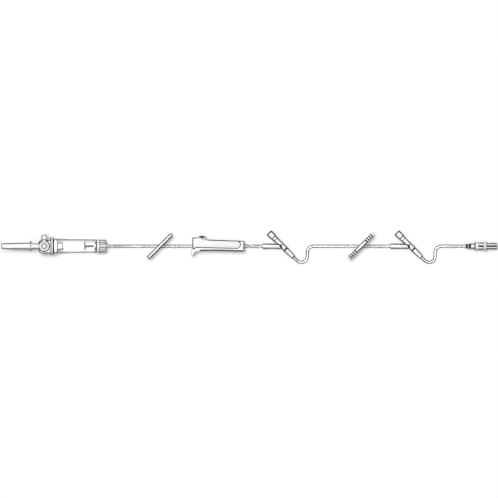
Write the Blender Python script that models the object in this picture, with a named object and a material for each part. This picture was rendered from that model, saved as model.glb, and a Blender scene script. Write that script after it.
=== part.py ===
"""Gravity infusion set, laid out straight on a table.

From left to right: capped vented spike, drip chamber, plain slide clamp, roller clamp, first Y-site,
ribbed slide clamp, second Y-site, and a male luer lock with its cover. The tube runs along +X, the
side ports lean over in the plane of the table, and +Z is up. The origin is the middle of the set's
footprint, on the table.
"""

import math

import bmesh
import bpy
from mathutils import Matrix, Vector

MM = 0.001

# Clearances
FIT = 0.15 * MM
GAP = 0.3 * MM

# Chamfers on moulded edges, and how far a cutter runs past the surface that it opens
CHAMFER = 0.4 * MM
SMALL_CHAMFER = 0.3 * MM
PAST = 1.0 * MM

# Facets round a full turn
ROUND = 20
SMALL_ROUND = 12

# Tube
TUBE_DIAMETER = 4.2 * MM
TUBE_LIFT = 0.1 * MM
TUBE_POINT_SPACING = 11.0 * MM
SOCKET_STRAIGHT = 4.0 * MM
TUBE_BOW = 14.0 * MM
TUBE_SINK = 1.1 * MM
TUBE_TOUCHDOWN_AT = 112.0 * MM

# The tube's bend under a Y-site: the distances along X and Y from where the barrel's line meets the
# tube's line, and the share of the barrel's height above the lying tube that is left there
S_BEND_ROUTE = [
    (17.9 * MM, -17.9 * MM, 0.83),
    (20.6 * MM, -20.4 * MM, 0.49),
    (24.0 * MM, -22.5 * MM, 0.17),
    (28.4 * MM, -22.5 * MM, 0.0),
    (32.2 * MM, -20.3 * MM, 0.0),
    (34.35 * MM, -16.6 * MM, 0.0),
    (34.7 * MM, -11.4 * MM, 0.0),
    (35.0 * MM, -6.3 * MM, 0.0),
    (37.2 * MM, -2.5 * MM, 0.0),
    (40.9 * MM, -0.35 * MM, 0.0),
    (45.6 * MM, 0.0, 0.0),
]

# Distances along the tube, from the flange of the spike
SLIDE_CLAMP_1_AT = 153.3 * MM
ROLLER_CLAMP_AT = 198.8 * MM
Y_SITE_1_AT = 325.1 * MM
SLIDE_CLAMP_2_AT = 435.0 * MM
Y_SITE_PITCH = 178.9 * MM
CONNECTOR_AT = 581.7 * MM

# Spike: a hollow shank with an oblique point, a seat for its cover, and a neck
SPIKE_LENGTH = 35.5 * MM
SPIKE_DIAMETER = 5.2 * MM
SPIKE_TAPER = 0.4 * MM
SPIKE_POINT_ANGLE = 24.0
SPIKE_SEAT_DIAMETER = 6.9 * MM
SPIKE_SEAT_LENGTH = 5.0 * MM
SPIKE_SEAT_LEAD = 0.6 * MM
NECK_LENGTH = 9.1 * MM
NECK_DIAMETER = 7.6 * MM
FLUID_LUMEN_DIAMETER = 2.0 * MM
FLUID_LUMEN_OFFSET = 0.95 * MM
AIR_LUMEN_DIAMETER = 1.2 * MM
AIR_LUMEN_OFFSET = 1.2 * MM
AIR_RISER_DIAMETER = 1.0 * MM
AIR_RISER_OFFSET = 1.0 * MM
SPIKE_POINT_BACK = 0.6

# Hub with the air vent
HUB_LENGTH = 16.6 * MM
HUB_TOP = 8.4 * MM
HUB_BOTTOM = 10.1 * MM
HUB_DEPTH = 12.6 * MM
HUB_CORNER_RADIUS = 5.6 * MM
HUB_TOP_CORNER_RADIUS = 3.9 * MM
HUB_EDGE = 1.1 * MM
VENT_AT = 8.8 * MM
VENT_BOSS_DIAMETER = 14.0 * MM
VENT_BOSS_HEIGHT = 1.3 * MM
VENT_RECESS_DIAMETER = 11.6 * MM
VENT_RECESS_DEPTH = 5.2 * MM
MEMBRANE_THICKNESS = 0.5 * MM
VENT_COVER_THICKNESS = 1.9 * MM
VENT_COVER_PROUD = 0.2 * MM
VENT_DIAMOND_REACH = 3.5 * MM
VENT_DIAMOND_HEIGHT = 0.7 * MM
VENT_DIAMOND_WALL = 0.9 * MM
VENT_DIAMOND_ROUNDING = 0.32
AIR_INLET_DIAMETER = 4.4 * MM
AIR_INLET_HEIGHT = 1.8 * MM
AIR_INLET_BORE = 1.6 * MM
VENT_CAP_BASE = 9.4 * MM
VENT_CAP_TOP = 6.4 * MM
VENT_CAP_HEIGHT = 7.5 * MM
VENT_CAP_DEPTH = 7.4 * MM
VENT_CAP_WALL = 1.0 * MM
VENT_CAP_HINGE_WALL = 1.4 * MM
VENT_CAP_CORNER_RADIUS = 1.3 * MM
VENT_HINGE_DIAMETER = 1.8 * MM
VENT_HINGE_LIFT = 0.2 * MM

# Grip flange, plug and drop nozzle
FLANGE_THICKNESS = 4.1 * MM
FLANGE_DIAMETER = 24.4 * MM
FLANGE_RIDGES = 30
FLANGE_RIDGE_DEPTH = 0.45 * MM
FLANGE_EDGE = 0.6 * MM
PLUG_LENGTH = 6.1 * MM
PLUG_LAND = 3.4 * MM
PLUG_STEP = 0.7 * MM
PLUG_CORNER_RADIUS = 1.2 * MM
NOZZLE_LENGTH = 7.2 * MM
NOZZLE_DIAMETER = 9.6 * MM
NOZZLE_CUP_DEPTH = 1.8 * MM
NOZZLE_BORE = 2.8 * MM
NOZZLE_BORE_REACH = 3.3 * MM
NOZZLE_CUP_LIP = 0.5 * MM

# Spike cover
COVER_LENGTH = 42.9 * MM
COVER_TIP_DIAMETER = 7.8 * MM
COVER_MOUTH_DIAMETER = 9.4 * MM
COVER_WALL = 1.0 * MM
COVER_TIP_RADIUS = 1.2 * MM
COVER_MOUTH_LEAD = 0.5 * MM
COVER_RIM_DIAMETER = 13.4 * MM
COVER_RIM_THICKNESS = 2.2 * MM

# Drip chamber and its filter
CHAMBER_LENGTH = 60.4 * MM
CHAMBER_TOP_DIAMETER = 20.6 * MM
CHAMBER_BOTTOM_DIAMETER = 18.4 * MM
CHAMBER_WALL = 1.2 * MM
CHAMBER_FLOOR = 2.1 * MM
CHAMBER_CORNER = 1.0 * MM
CHAMBER_SIDES = 32
FILTER_DISC_DIAMETER = 10.8 * MM
FILTER_DISC_THICKNESS = 1.6 * MM
FILTER_DISC_RIM = 0.8 * MM
FILTER_MESH_THICKNESS = 0.4 * MM
FILTER_STEM_DIAMETER = 2.8 * MM
FILTER_STEM_BORE = 1.5 * MM
FILTER_HEIGHT = 15.4 * MM
FILTER_FILLET = 0.8 * MM
FILTER_DISH_LEDGE = 1.2 * MM
FILTER_DISH_FALL = 0.5 * MM

# Outlet cap under the chamber
OUTLET_DISC_THICKNESS = 3.2 * MM
OUTLET_DIAMETER = 18.2 * MM
OUTLET_SPIGOT_DIAMETER = 6.2 * MM
OUTLET_SPIGOT_HEIGHT = 1.6 * MM
OUTLET_SOCKET_DIAMETER = 6.8 * MM
OUTLET_SOCKET_LENGTH = 10.3 * MM
OUTLET_TUBE_DEPTH = 9.0 * MM
OUTLET_FINS = 8
OUTLET_FIN_THICKNESS = 1.3 * MM
OUTLET_FIN_CORNER = 0.7 * MM
OUTLET_FIN_SHORT = 0.2 * MM
OUTLET_BORE = 2.4 * MM

# Slide clamps: rimmed plates with a keyhole, across the tube at half a right angle
CLAMP_WIDTH = 14.0 * MM
CLAMP_CORNER_RADIUS = 3.0 * MM
CLAMP_EDGE = 0.5 * MM
CLAMP_RECESS_RADIUS = 1.9 * MM
CLAMP_WEB = 2.0 * MM
CLAMP_RIM = 1.6 * MM
CLAMP_ANGLE = 45.0
KEYHOLE_LENGTH = 10.2 * MM
KEYHOLE_HEIGHT = 5.4 * MM
KEYHOLE_SLOT_LENGTH = 13.0 * MM
KEYHOLE_SLOT_HEIGHT = 2.0 * MM
CLAMP_1_LENGTH = 47.3 * MM
CLAMP_1_THICKNESS = 5.2 * MM
CLAMP_2_LENGTH = 48.4 * MM
CLAMP_2_THICKNESS = 5.6 * MM
CLAMP_2_RIBS = 4
CLAMP_2_RIB_PITCH = 3.4 * MM
CLAMP_2_RIB_HEIGHT = 0.5 * MM
CLAMP_2_RIB_RADIUS = 1.2 * MM
CLAMP_2_END_RIB_SHORT = 1.0 * MM

# Roller clamp, lying on its side; heights across it are measured from the tube's line
ROLLER_BODY_LENGTH = 72.8 * MM
ROLLER_BODY_WIDTH = 14.0 * MM
ROLLER_BODY_EDGE = 0.7 * MM
ROLLER_NOSE_TOP = 12.2 * MM
ROLLER_NOSE_LENGTH = 7.6 * MM
ROLLER_WALL_FRONT_TOP = 9.3 * MM
ROLLER_WALL_BACK_TOP = 7.4 * MM
ROLLER_WALL_SLOPE_LENGTH = 20.5 * MM
ROLLER_WALL_SLOPE_RADIUS = 6.0 * MM
ROLLER_BACK_BOTTOM = 7.8 * MM
ROLLER_WAIST_BOTTOM = 6.6 * MM
ROLLER_WAIST_START = 12.4 * MM
ROLLER_WAIST_END = 32.8 * MM
ROLLER_WAIST_START_RADIUS = 12.0 * MM
ROLLER_WAIST_END_RADIUS = 30.0 * MM
ROLLER_FRONT_BOTTOM = 8.8 * MM
ROLLER_HOOK_DEPTH = 13.6 * MM
ROLLER_HOOK_THICKNESS = 3.6 * MM
ROLLER_HOOK_PROUD = 1.4 * MM
ROLLER_HOOK_RADIUS = 1.7 * MM
ROLLER_HOOK_TOP = 4.5 * MM
ROLLER_HOOK_SHOULDER = 3.3 * MM
ROLLER_CORNER_RADIUS = 1.4 * MM
HOOK_SHOULDER_RADIUS = 0.9 * MM
ROLLER_CHANNEL_START = 6.1 * MM
ROLLER_BACK_WALL = 4.4 * MM
ROLLER_FLOOR_DROP = 1.35 * MM
ROLLER_CHANNEL_CORNER = 1.5 * MM
ROLLER_PANEL_DEPTH = 0.7 * MM
ROLLER_PANEL_START = 1.6 * MM
ROLLER_PANEL_FRONT = (4.8 * MM, -2.3 * MM)
ROLLER_PANEL_STEP = (8.0 * MM, -1.9 * MM)
ROLLER_PANEL_FRONT_DROP = 3.9 * MM
ROLLER_PANEL_BACK_DROP = 3.1 * MM
ROLLER_PANEL_END_RADIUS = 5.2 * MM
ROLLER_PANEL_END_GAP = 5.4 * MM
ROLLER_PANEL_TOP_GAP = 14.6 * MM
ROLLER_LUG_DIAMETER = 4.2 * MM
ROLLER_LUG_AT = 17.0 * MM
ROLLER_LUG_TOP = 12.5 * MM
ROLLER_LUG_INSET = 0.3 * MM
ROLLER_DIAMETER = 13.8 * MM
ROLLER_WIDTH = 8.0 * MM
ROLLER_RIDGES = 26
ROLLER_RIDGE_DEPTH = 0.45 * MM
ROLLER_AXLE_DIAMETER = 2.4 * MM
ROLLER_AXLE_LENGTH = 1.1 * MM
ROLLER_EDGE = 0.5 * MM
ROLLER_DISH_RIM = 1.6 * MM
ROLLER_DISH_DEPTH = 0.6 * MM
ROLLER_START = 13.5 * MM
ROLLER_END_CLEARANCE = 3.0 * MM
ROLLER_START_HEIGHT = 8.0 * MM
ROLLER_END_HEIGHT = 4.45 * MM

# The tube's sag in the roller clamp: the distance in from an end of the channel, and the share of the drop
ROLLER_SAG = [(-2.0 * MM, 0.0), (2.0 * MM, 0.3), (6.0 * MM, 0.85), (10.0 * MM, 1.0), (16.0 * MM, 1.0)]

# Y-sites; lengths run along the barrel, from where its line meets the tube's line
Y_SITE_ANGLE = 45.0
Y_CAP_FACE_AT = 26.9 * MM
Y_CAP_LENGTH = 9.5 * MM
Y_CAP_DIAMETER = 9.1 * MM
Y_CAP_LIP = 1.0 * MM
Y_CAP_OPENING = 5.6 * MM
Y_BAND_LENGTH = 4.2 * MM
Y_BAND_DIAMETER = 8.3 * MM
Y_BARREL_DIAMETER = 7.6 * MM
Y_BARREL_TAIL = 6.0 * MM
Y_BORE_DIAMETER = 3.0 * MM
Y_SEPTUM_PLUG_DIAMETER = 4.4 * MM
Y_SEPTUM_PLUG_LENGTH = 4.0 * MM
Y_SEPTUM_FLANGE = 1.7 * MM
Y_SEPTUM_PROUD = 0.1 * MM
Y_SPIGOT_DIAMETER = 4.8 * MM
Y_SPIGOT_LENGTH = 5.0 * MM
Y_SLEEVE_LENGTH = 15.8 * MM
Y_SLEEVE_TIP_DIAMETER = 6.0 * MM
Y_SLEEVE_HEAD_LENGTH = 5.5 * MM
Y_SLEEVE_HEAD_TAPER = 0.2 * MM
Y_CAP_EDGE = 0.5 * MM
Y_ARM_LENGTH = 28.0 * MM
Y_ARM_DIAMETER = 7.3 * MM
Y_INLET_BORE_DIAMETER = 2.6 * MM
Y_TUBE_DEPTH = 9.0 * MM

# Luer connector at the patient end
ADAPTOR_LENGTH = 7.0 * MM
ADAPTOR_START_DIAMETER = 5.8 * MM
ADAPTOR_END_DIAMETER = 7.0 * MM
LUER_BODY_LENGTH = 5.0 * MM
LUER_BODY_DIAMETER = 7.3 * MM
LUER_TUBE_DEPTH = 4.0 * MM
LUER_NECK_DIAMETER = 4.6 * MM
LUER_NECK_LENGTH = 3.2 * MM
LUER_BEAD_DIAMETER = 6.0 * MM
LUER_BEAD_LENGTH = 1.2 * MM
LUER_TAPER_LENGTH = 11.0 * MM
LUER_TAPER_ROOT = 4.3 * MM
LUER_TAPER_TIP = 3.96 * MM
LUER_BORE = 2.2 * MM
COLLAR_LENGTH = 13.2 * MM
COLLAR_DIAMETER = 10.4 * MM
COLLAR_RIM_DIAMETER = 12.0 * MM
COLLAR_RIM_LENGTH = 1.3 * MM
COLLAR_BACK_WALL = 1.9 * MM
COLLAR_MOUTH_DIAMETER = 8.0 * MM
COLLAR_RIDGES = 16
COLLAR_RIDGE_DEPTH = 0.35 * MM
CAP_RIM_DIAMETER = 14.0 * MM
CAP_RIM_THICKNESS = 2.2 * MM
CAP_BODY_LENGTH = 15.2 * MM
CAP_BODY_DIAMETER = 9.0 * MM
CAP_WAIST_DEPTH = 0.5 * MM
CAP_WAIST_START = 1.8 * MM
CAP_WAIST_AT = 4.6 * MM
CAP_WAIST_END = 7.3 * MM
CAP_END_EDGE = 0.5 * MM
CAP_FLUTES = 10
CAP_FLUTE_DEPTH = 0.6 * MM
CAP_SLEEVE_LENGTH = 6.0 * MM
CAP_BORE_DEPTH = 4.5 * MM
CAP_BORE_CONE = 0.6 * MM

# Radii and places that follow from the sizes above
tube_radius = TUBE_DIAMETER / 2
socket_radius = tube_radius + FIT
tube_rest_height = tube_radius + TUBE_LIFT
clamp_centre_height = CLAMP_WIDTH / 2
roller_centre_height = ROLLER_BODY_WIDTH / 2
y_site_height = Y_CAP_DIAMETER / 2
connector_height = CAP_RIM_DIAMETER / 2
chamber_start = FLANGE_THICKNESS + GAP
chamber_end = chamber_start + CHAMBER_LENGTH
outlet_start = chamber_end + GAP
outlet_socket_start = outlet_start + OUTLET_DISC_THICKNESS
outlet_end = outlet_socket_start + OUTLET_SOCKET_LENGTH
neck_end = -HUB_LENGTH
neck_start = neck_end - NECK_LENGTH
cover_mouth = neck_start - GAP
cover_tip = cover_mouth - COVER_LENGTH
plug_radius = CHAMBER_TOP_DIAMETER / 2 - CHAMBER_WALL - FIT
vent_x = -VENT_AT
vent_boss_top = HUB_DEPTH / 2 + VENT_BOSS_HEIGHT
vent_recess_floor = vent_boss_top - VENT_RECESS_DEPTH
vent_hinge_x = vent_x - VENT_CAP_BASE / 2
vent_hinge_y = HUB_TOP + VENT_HINGE_LIFT
roller_floor = -ROLLER_FLOOR_DROP - tube_radius - FIT
roller_channel_width = ROLLER_WIDTH + 2 * GAP
roller_channel_end = ROLLER_BODY_LENGTH - ROLLER_BACK_WALL
roller_end = roller_channel_end - ROLLER_END_CLEARANCE - ROLLER_DIAMETER / 2
axle_groove_radius = ROLLER_AXLE_DIAMETER / 2 + FIT
collar_start = ADAPTOR_LENGTH + FIT + LUER_BODY_LENGTH + GAP
cap_rim_start = collar_start + COLLAR_LENGTH + GAP
cap_end = cap_rim_start + CAP_RIM_THICKNESS + CAP_BODY_LENGTH

# The air inlet enters the recess halfway between the membrane and the cover
air_inlet_height = (vent_recess_floor + MEMBRANE_THICKNESS + vent_boss_top - VENT_COVER_THICKNESS) / 2

# The chamber lies on the flange's edge and on the fins, so its axis falls by this angle along +X
chamber_tilt = math.asin(
    (FLANGE_DIAMETER - OUTLET_DIAMETER) / 2 / (outlet_end - FLANGE_THICKNESS)
)
chamber_height = FLANGE_DIAMETER / 2 * math.cos(chamber_tilt) + FLANGE_THICKNESS * math.sin(
    chamber_tilt
)

# The footprint without the tubes, whose middle is the origin
y_site_slope = Vector((math.cos(math.radians(Y_SITE_ANGLE)), -math.sin(math.radians(Y_SITE_ANGLE)), 0))
clamp_2_reach = (CLAMP_2_LENGTH + CLAMP_2_THICKNESS) / 2 * math.sin(math.radians(CLAMP_ANGLE))
set_left = cover_tip * math.cos(chamber_tilt)
set_right = CONNECTOR_AT + cap_end
set_far = (Y_CAP_FACE_AT + Y_CAP_DIAMETER / 2) * math.sin(math.radians(Y_SITE_ANGLE))
set_near = -clamp_2_reach
footprint_middle = Vector(((set_left + set_right) / 2, (set_far + set_near) / 2, 0))


def material(name, colour, roughness, metallic=0.0, alpha=1.0):
    """A Principled material of one plain finish."""
    made = bpy.data.materials.new(name)
    made.use_nodes = True
    shader = made.node_tree.nodes["Principled BSDF"]
    shader.inputs["Base Color"].default_value = (*colour, 1.0)
    shader.inputs["Roughness"].default_value = roughness
    shader.inputs["Metallic"].default_value = metallic
    shader.inputs["Alpha"].default_value = alpha
    made.diffuse_color = (*colour, alpha)
    return made


def empty(name, parent=None, location=(0, 0, 0), rotation=(0, 0, 0)):
    """A frame that pieces are parented to."""
    frame = bpy.data.objects.new(name, None)
    bpy.context.collection.objects.link(frame)
    frame.parent = parent
    frame.location = location
    frame.rotation_euler = rotation
    return frame


def solid(name, bm, parent, finish=None):
    """The mesh as an object with its faces turned outwards, under its parent frame."""
    bmesh.ops.remove_doubles(bm, verts=bm.verts, dist=1e-8)
    bmesh.ops.recalc_face_normals(bm, faces=bm.faces)
    mesh = bpy.data.meshes.new(name)
    bm.to_mesh(mesh)
    bm.free()
    mesh.shade_smooth()
    mesh.set_sharp_from_angle(angle=math.radians(35))
    piece = bpy.data.objects.new(name, mesh)
    bpy.context.collection.objects.link(piece)
    piece.parent = parent
    if finish:
        mesh.materials.append(finish)
    return piece


def turned_mesh(profile, sides=ROUND, phase=0.0):
    """A profile of (along X, radius) points turned about X, and started a part of a facet round.

    A profile that leaves the axis is closed on itself.
    """
    bm = bmesh.new()
    verts = [bm.verts.new((along, 0, radius)) for along, radius in profile]
    pairs = list(zip(verts, verts[1:]))
    if profile[0][1] > 0 or profile[-1][1] > 0:
        pairs.append((verts[-1], verts[0]))
    edges = [bm.edges.new(pair) for pair in pairs]
    bmesh.ops.spin(
        bm, geom=verts + edges, axis=(1, 0, 0), cent=(0, 0, 0), steps=sides, angle=math.tau, use_merge=True
    )
    bmesh.ops.dissolve_degenerate(bm, dist=1e-8, edges=bm.edges)
    bm.transform(Matrix.Rotation(math.tau * phase / sides, 4, "X"))
    return bm


def turned(name, profile, parent, finish=None, sides=ROUND, phase=0.0):
    return solid(name, turned_mesh(profile, sides, phase), parent, finish)


def arc(centre, radius, start, end, steps):
    """Points on an arc, with its angles in degrees."""
    angles = [math.radians(start + (end - start) * step / steps) for step in range(steps + 1)]
    return [(centre[0] + radius * math.cos(a), centre[1] + radius * math.sin(a)) for a in angles]


def filleted(corners, steps=3):
    """An outline of (x, y, fillet radius) corners with each corner rounded by its own arc."""
    outline = []
    count = len(corners)
    for index, (x, y, radius) in enumerate(corners):
        corner = Vector((x, y))
        before = (Vector(corners[index - 1][:2]) - corner).normalized()
        after = (Vector(corners[(index + 1) % count][:2]) - corner).normalized()
        half = before.angle(after) / 2
        if radius <= 0 or half > math.radians(89):
            outline.append(corner)
            continue
        middle = (before + after).normalized()
        centre = corner + middle * (radius / math.sin(half))
        start = corner + before * (radius / math.tan(half)) - centre
        end = corner + after * (radius / math.tan(half)) - centre
        turn = start.angle_signed(end)
        for step in range(steps + 1):
            outline.append(centre + Matrix.Rotation(-turn * step / steps, 2) @ start)
    return outline


def prism_mesh(outline, low, high, edge=0.0):
    """An outline in XY carried from low to high along Z, with its rims bevelled by edge."""
    bm = bmesh.new()
    face = bm.faces.new([bm.verts.new((x, y, low)) for x, y in outline])
    lifted = bmesh.ops.extrude_face_region(bm, geom=[face])["geom"]
    top = [item for item in lifted if isinstance(item, bmesh.types.BMVert)]
    bmesh.ops.translate(bm, verts=top, vec=(0, 0, high - low))
    if edge:
        rims = [e for e in bm.edges if abs(e.verts[0].co.z - e.verts[1].co.z) < 1e-9]
        bmesh.ops.recalc_face_normals(bm, faces=bm.faces)
        bmesh.ops.bevel(bm, geom=rims, offset=edge, segments=2, profile=0.5, affect="EDGES")
    return bm


def prism(name, outline, low, high, parent, finish=None, edge=0.0):
    return solid(name, prism_mesh(outline, low, high, edge), parent, finish)


def ridged_mesh(count, radius, depth, stations):
    """Ridges round X: a star outline at each (along, scale) station, closed by flat ends."""
    bm = bmesh.new()
    rings = []
    for along, scale in stations:
        ring = []
        for index in range(2 * count):
            angle = math.pi * index / count
            reach = radius * scale - (depth if index % 2 else 0.0)
            ring.append(bm.verts.new((along, reach * math.sin(angle), reach * math.cos(angle))))
        rings.append(ring)
    for first, second in zip(rings, rings[1:]):
        bmesh.ops.bridge_loops(bm, edges=ring_edges(bm, first) + ring_edges(bm, second))
    bm.faces.new(rings[0])
    bm.faces.new(rings[-1])
    return bm


def ring_edges(bm, ring):
    edges = []
    for first, second in zip(ring, ring[1:] + ring[:1]):
        edge = bm.edges.get((first, second)) or bm.edges.new((first, second))
        edges.append(edge)
    return edges


def point_along(direction, start=(0, 0, 0)):
    """The placement that turns +X to a direction and moves the origin to a start."""
    turn = Vector((1, 0, 0)).rotation_difference(Vector(direction)).to_matrix().to_4x4()
    return Matrix.Translation(start) @ turn


def rod_mesh(start, end, radius, sides=SMALL_ROUND):
    """A straight round bar between two points, turned by half a facet."""
    start = Vector(start)
    end = Vector(end)
    length = (end - start).length
    bm = turned_mesh([(0, 0), (0, radius), (length, radius), (length, 0)], sides, 0.5)
    bm.transform(point_along(end - start, start))
    return bm


def rod(name, start, end, radius, parent, sides=SMALL_ROUND):
    return solid(name, rod_mesh(start, end, radius, sides), parent)


def combine(piece, tool, operation):
    """A Boolean on the piece; the tool stays as a hidden wire helper."""
    tool.hide_render = True
    tool.display_type = "WIRE"
    boolean = piece.modifiers.new(tool.name, "BOOLEAN")
    boolean.operation = operation
    boolean.solver = "EXACT"
    boolean.object = tool
    return piece


def add(piece, tool):
    return combine(piece, tool, "UNION")


def cut(piece, tool):
    return combine(piece, tool, "DIFFERENCE")


def smooth_route(points):
    """Points along one smooth curve through the route's own points.

    Each span is a cubic whose end directions are the means of the two chords that meet there,
    weighted by their lengths, and it gets a point about every TUBE_POINT_SPACING.
    """
    route = [Vector(point) for point in points]
    lengths = [(b - a).length for a, b in zip(route, route[1:])]
    chords = [(b - a) / d for a, b, d in zip(route, route[1:], lengths)]
    directions = [chords[0]]
    for first, second, d1, d2 in zip(chords, chords[1:], lengths, lengths[1:]):
        directions.append((first * d2 + second * d1) / (d1 + d2))
    directions.append(chords[-1])
    curve = [route[0]]
    for index, length in enumerate(lengths):
        start, end = route[index], route[index + 1]
        leave, arrive = directions[index] * length, directions[index + 1] * length
        count = max(1, round(length / TUBE_POINT_SPACING))
        for step in range(1, count + 1):
            t = step / count
            curve.append(
                start * (2 * t**3 - 3 * t**2 + 1)
                + leave * (t**3 - 2 * t**2 + t)
                + end * (3 * t**2 - 2 * t**3)
                + arrive * (t**3 - t**2)
            )
    return curve


def tube(name, route, parent, finish):
    """A round tube along a route, as a bevelled curve with filled ends."""
    curve = bpy.data.curves.new(name, "CURVE")
    curve.dimensions = "3D"
    curve.bevel_depth = tube_radius
    curve.bevel_resolution = 2
    curve.use_fill_caps = True
    curve.materials.append(finish)
    points = smooth_route(route)
    spline = curve.splines.new("POLY")
    spline.points.add(len(points) - 1)
    for point, place in zip(spline.points, points):
        point.co = (*place, 1.0)
    piece = bpy.data.objects.new(name, curve)
    bpy.context.collection.objects.link(piece)
    piece.parent = parent
    return piece


def vented_spike(frame, finish):
    """One moulding: spike, neck, hub, grip flange, chamber plug and drop nozzle, with two lumens."""
    shank = SPIKE_DIAMETER / 2
    seat_start = neck_start - SPIKE_SEAT_LENGTH
    tip = neck_start - SPIKE_LENGTH
    plug_start = FLANGE_THICKNESS
    nozzle_start = plug_start + PLUG_LENGTH
    nozzle_end = nozzle_start + NOZZLE_LENGTH
    plug_corner = plug_radius - PLUG_STEP - PLUG_CORNER_RADIUS
    bore_start = -NOZZLE_BORE_REACH
    profile = [
        (tip, 0),
        (tip, shank - SPIKE_TAPER),
        (seat_start, shank),
        (seat_start + SPIKE_SEAT_LEAD, SPIKE_SEAT_DIAMETER / 2),
        (neck_start, SPIKE_SEAT_DIAMETER / 2),
        (neck_start, NECK_DIAMETER / 2),
        (neck_end + HUB_EDGE, NECK_DIAMETER / 2),
        (-HUB_LENGTH / 2, HUB_DEPTH / 2 - HUB_EDGE),
        (FLANGE_THICKNESS / 2, HUB_DEPTH / 2 - HUB_EDGE),
        (FLANGE_THICKNESS / 2, plug_radius),
        (plug_start + PLUG_LAND, plug_radius),
        (plug_start + PLUG_LAND + PLUG_STEP, plug_radius - PLUG_STEP),
        *arc((nozzle_start - PLUG_CORNER_RADIUS, plug_corner), PLUG_CORNER_RADIUS, 90, 0, 3),
        (nozzle_start, NOZZLE_DIAMETER / 2),
        (nozzle_end - CHAMFER, NOZZLE_DIAMETER / 2),
        (nozzle_end, NOZZLE_DIAMETER / 2 - CHAMFER),
        (nozzle_end - NOZZLE_CUP_DEPTH, NOZZLE_BORE / 2 + NOZZLE_CUP_LIP),
        (nozzle_end - NOZZLE_CUP_DEPTH, NOZZLE_BORE / 2),
        (bore_start, NOZZLE_BORE / 2),
        (bore_start, 0),
    ]
    spike = turned("vented_spike", profile, frame, finish)

    hub_outline = filleted(
        [
            (-HUB_LENGTH, HUB_TOP, HUB_TOP_CORNER_RADIUS),
            (FLANGE_THICKNESS / 2, HUB_TOP, 0),
            (FLANGE_THICKNESS / 2, -HUB_BOTTOM, 0),
            (-HUB_LENGTH, -HUB_BOTTOM, HUB_CORNER_RADIUS),
        ],
        steps=5,
    )
    add(spike, prism("hub_block", hub_outline, -HUB_DEPTH / 2, HUB_DEPTH / 2, frame, edge=HUB_EDGE))

    rim = 1 - FLANGE_EDGE / (FLANGE_DIAMETER / 2)
    stations = [(0, rim), (FLANGE_EDGE, 1), (FLANGE_THICKNESS - FLANGE_EDGE, 1), (FLANGE_THICKNESS, rim)]
    flange = ridged_mesh(FLANGE_RIDGES, FLANGE_DIAMETER / 2, FLANGE_RIDGE_DEPTH, stations)
    add(spike, solid("flange_ring", flange, frame))

    boss_ends = ((vent_x, 0, 0), (vent_x, 0, vent_boss_top))
    add(spike, rod("vent_boss", *boss_ends, VENT_BOSS_DIAMETER / 2, frame, ROUND))
    inlet_top = HUB_TOP + AIR_INLET_HEIGHT
    inlet_z = air_inlet_height
    inlet_ends = ((vent_x, 0, inlet_z), (vent_x, inlet_top, inlet_z))
    add(spike, rod("air_inlet", *inlet_ends, AIR_INLET_DIAMETER / 2, frame))

    recess_ends = ((vent_x, 0, vent_recess_floor), (vent_x, 0, vent_boss_top + PAST))
    cut(spike, rod("filter_recess", *recess_ends, VENT_RECESS_DIAMETER / 2, frame, ROUND))
    bore_ends = ((vent_x, 0, inlet_z), (vent_x, inlet_top + PAST, inlet_z))
    cut(spike, rod("inlet_bore", *bore_ends, AIR_INLET_BORE / 2, frame))
    fluid_y = -FLUID_LUMEN_OFFSET
    fluid_ends = ((tip - PAST, fluid_y, 0), (bore_start + PAST, fluid_y, 0))
    cut(spike, rod("fluid_lumen", *fluid_ends, FLUID_LUMEN_DIAMETER / 2, frame))
    air_y = AIR_LUMEN_OFFSET
    cut(spike, rod("air_lumen", (tip - PAST, air_y, 0), (vent_x, air_y, 0), AIR_LUMEN_DIAMETER / 2, frame))
    riser_x = vent_x - AIR_RISER_OFFSET
    riser_ends = ((riser_x, air_y, 0), (riser_x, air_y, vent_recess_floor + PAST))
    cut(spike, rod("air_riser", *riser_ends, AIR_RISER_DIAMETER / 2, frame))
    saddle_half = VENT_CAP_DEPTH / 2 + GAP
    saddle_low = (vent_hinge_x, vent_hinge_y, inlet_z - saddle_half)
    saddle_high = (vent_hinge_x, vent_hinge_y, inlet_z + saddle_half)
    cut(spike, rod("hinge_saddle", saddle_low, saddle_high, VENT_HINGE_DIAMETER / 2 + FIT, frame))

    reach = SPIKE_DIAMETER
    run = reach / math.tan(math.radians(SPIKE_POINT_ANGLE))
    foot = tip + SPIKE_POINT_BACK * run
    wedge = [(tip - PAST, reach), (foot + run, reach), (foot - run, -reach), (tip - run - PAST, -reach)]
    cut(spike, prism("spike_point", wedge, -reach, reach, frame))
    return spike


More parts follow.
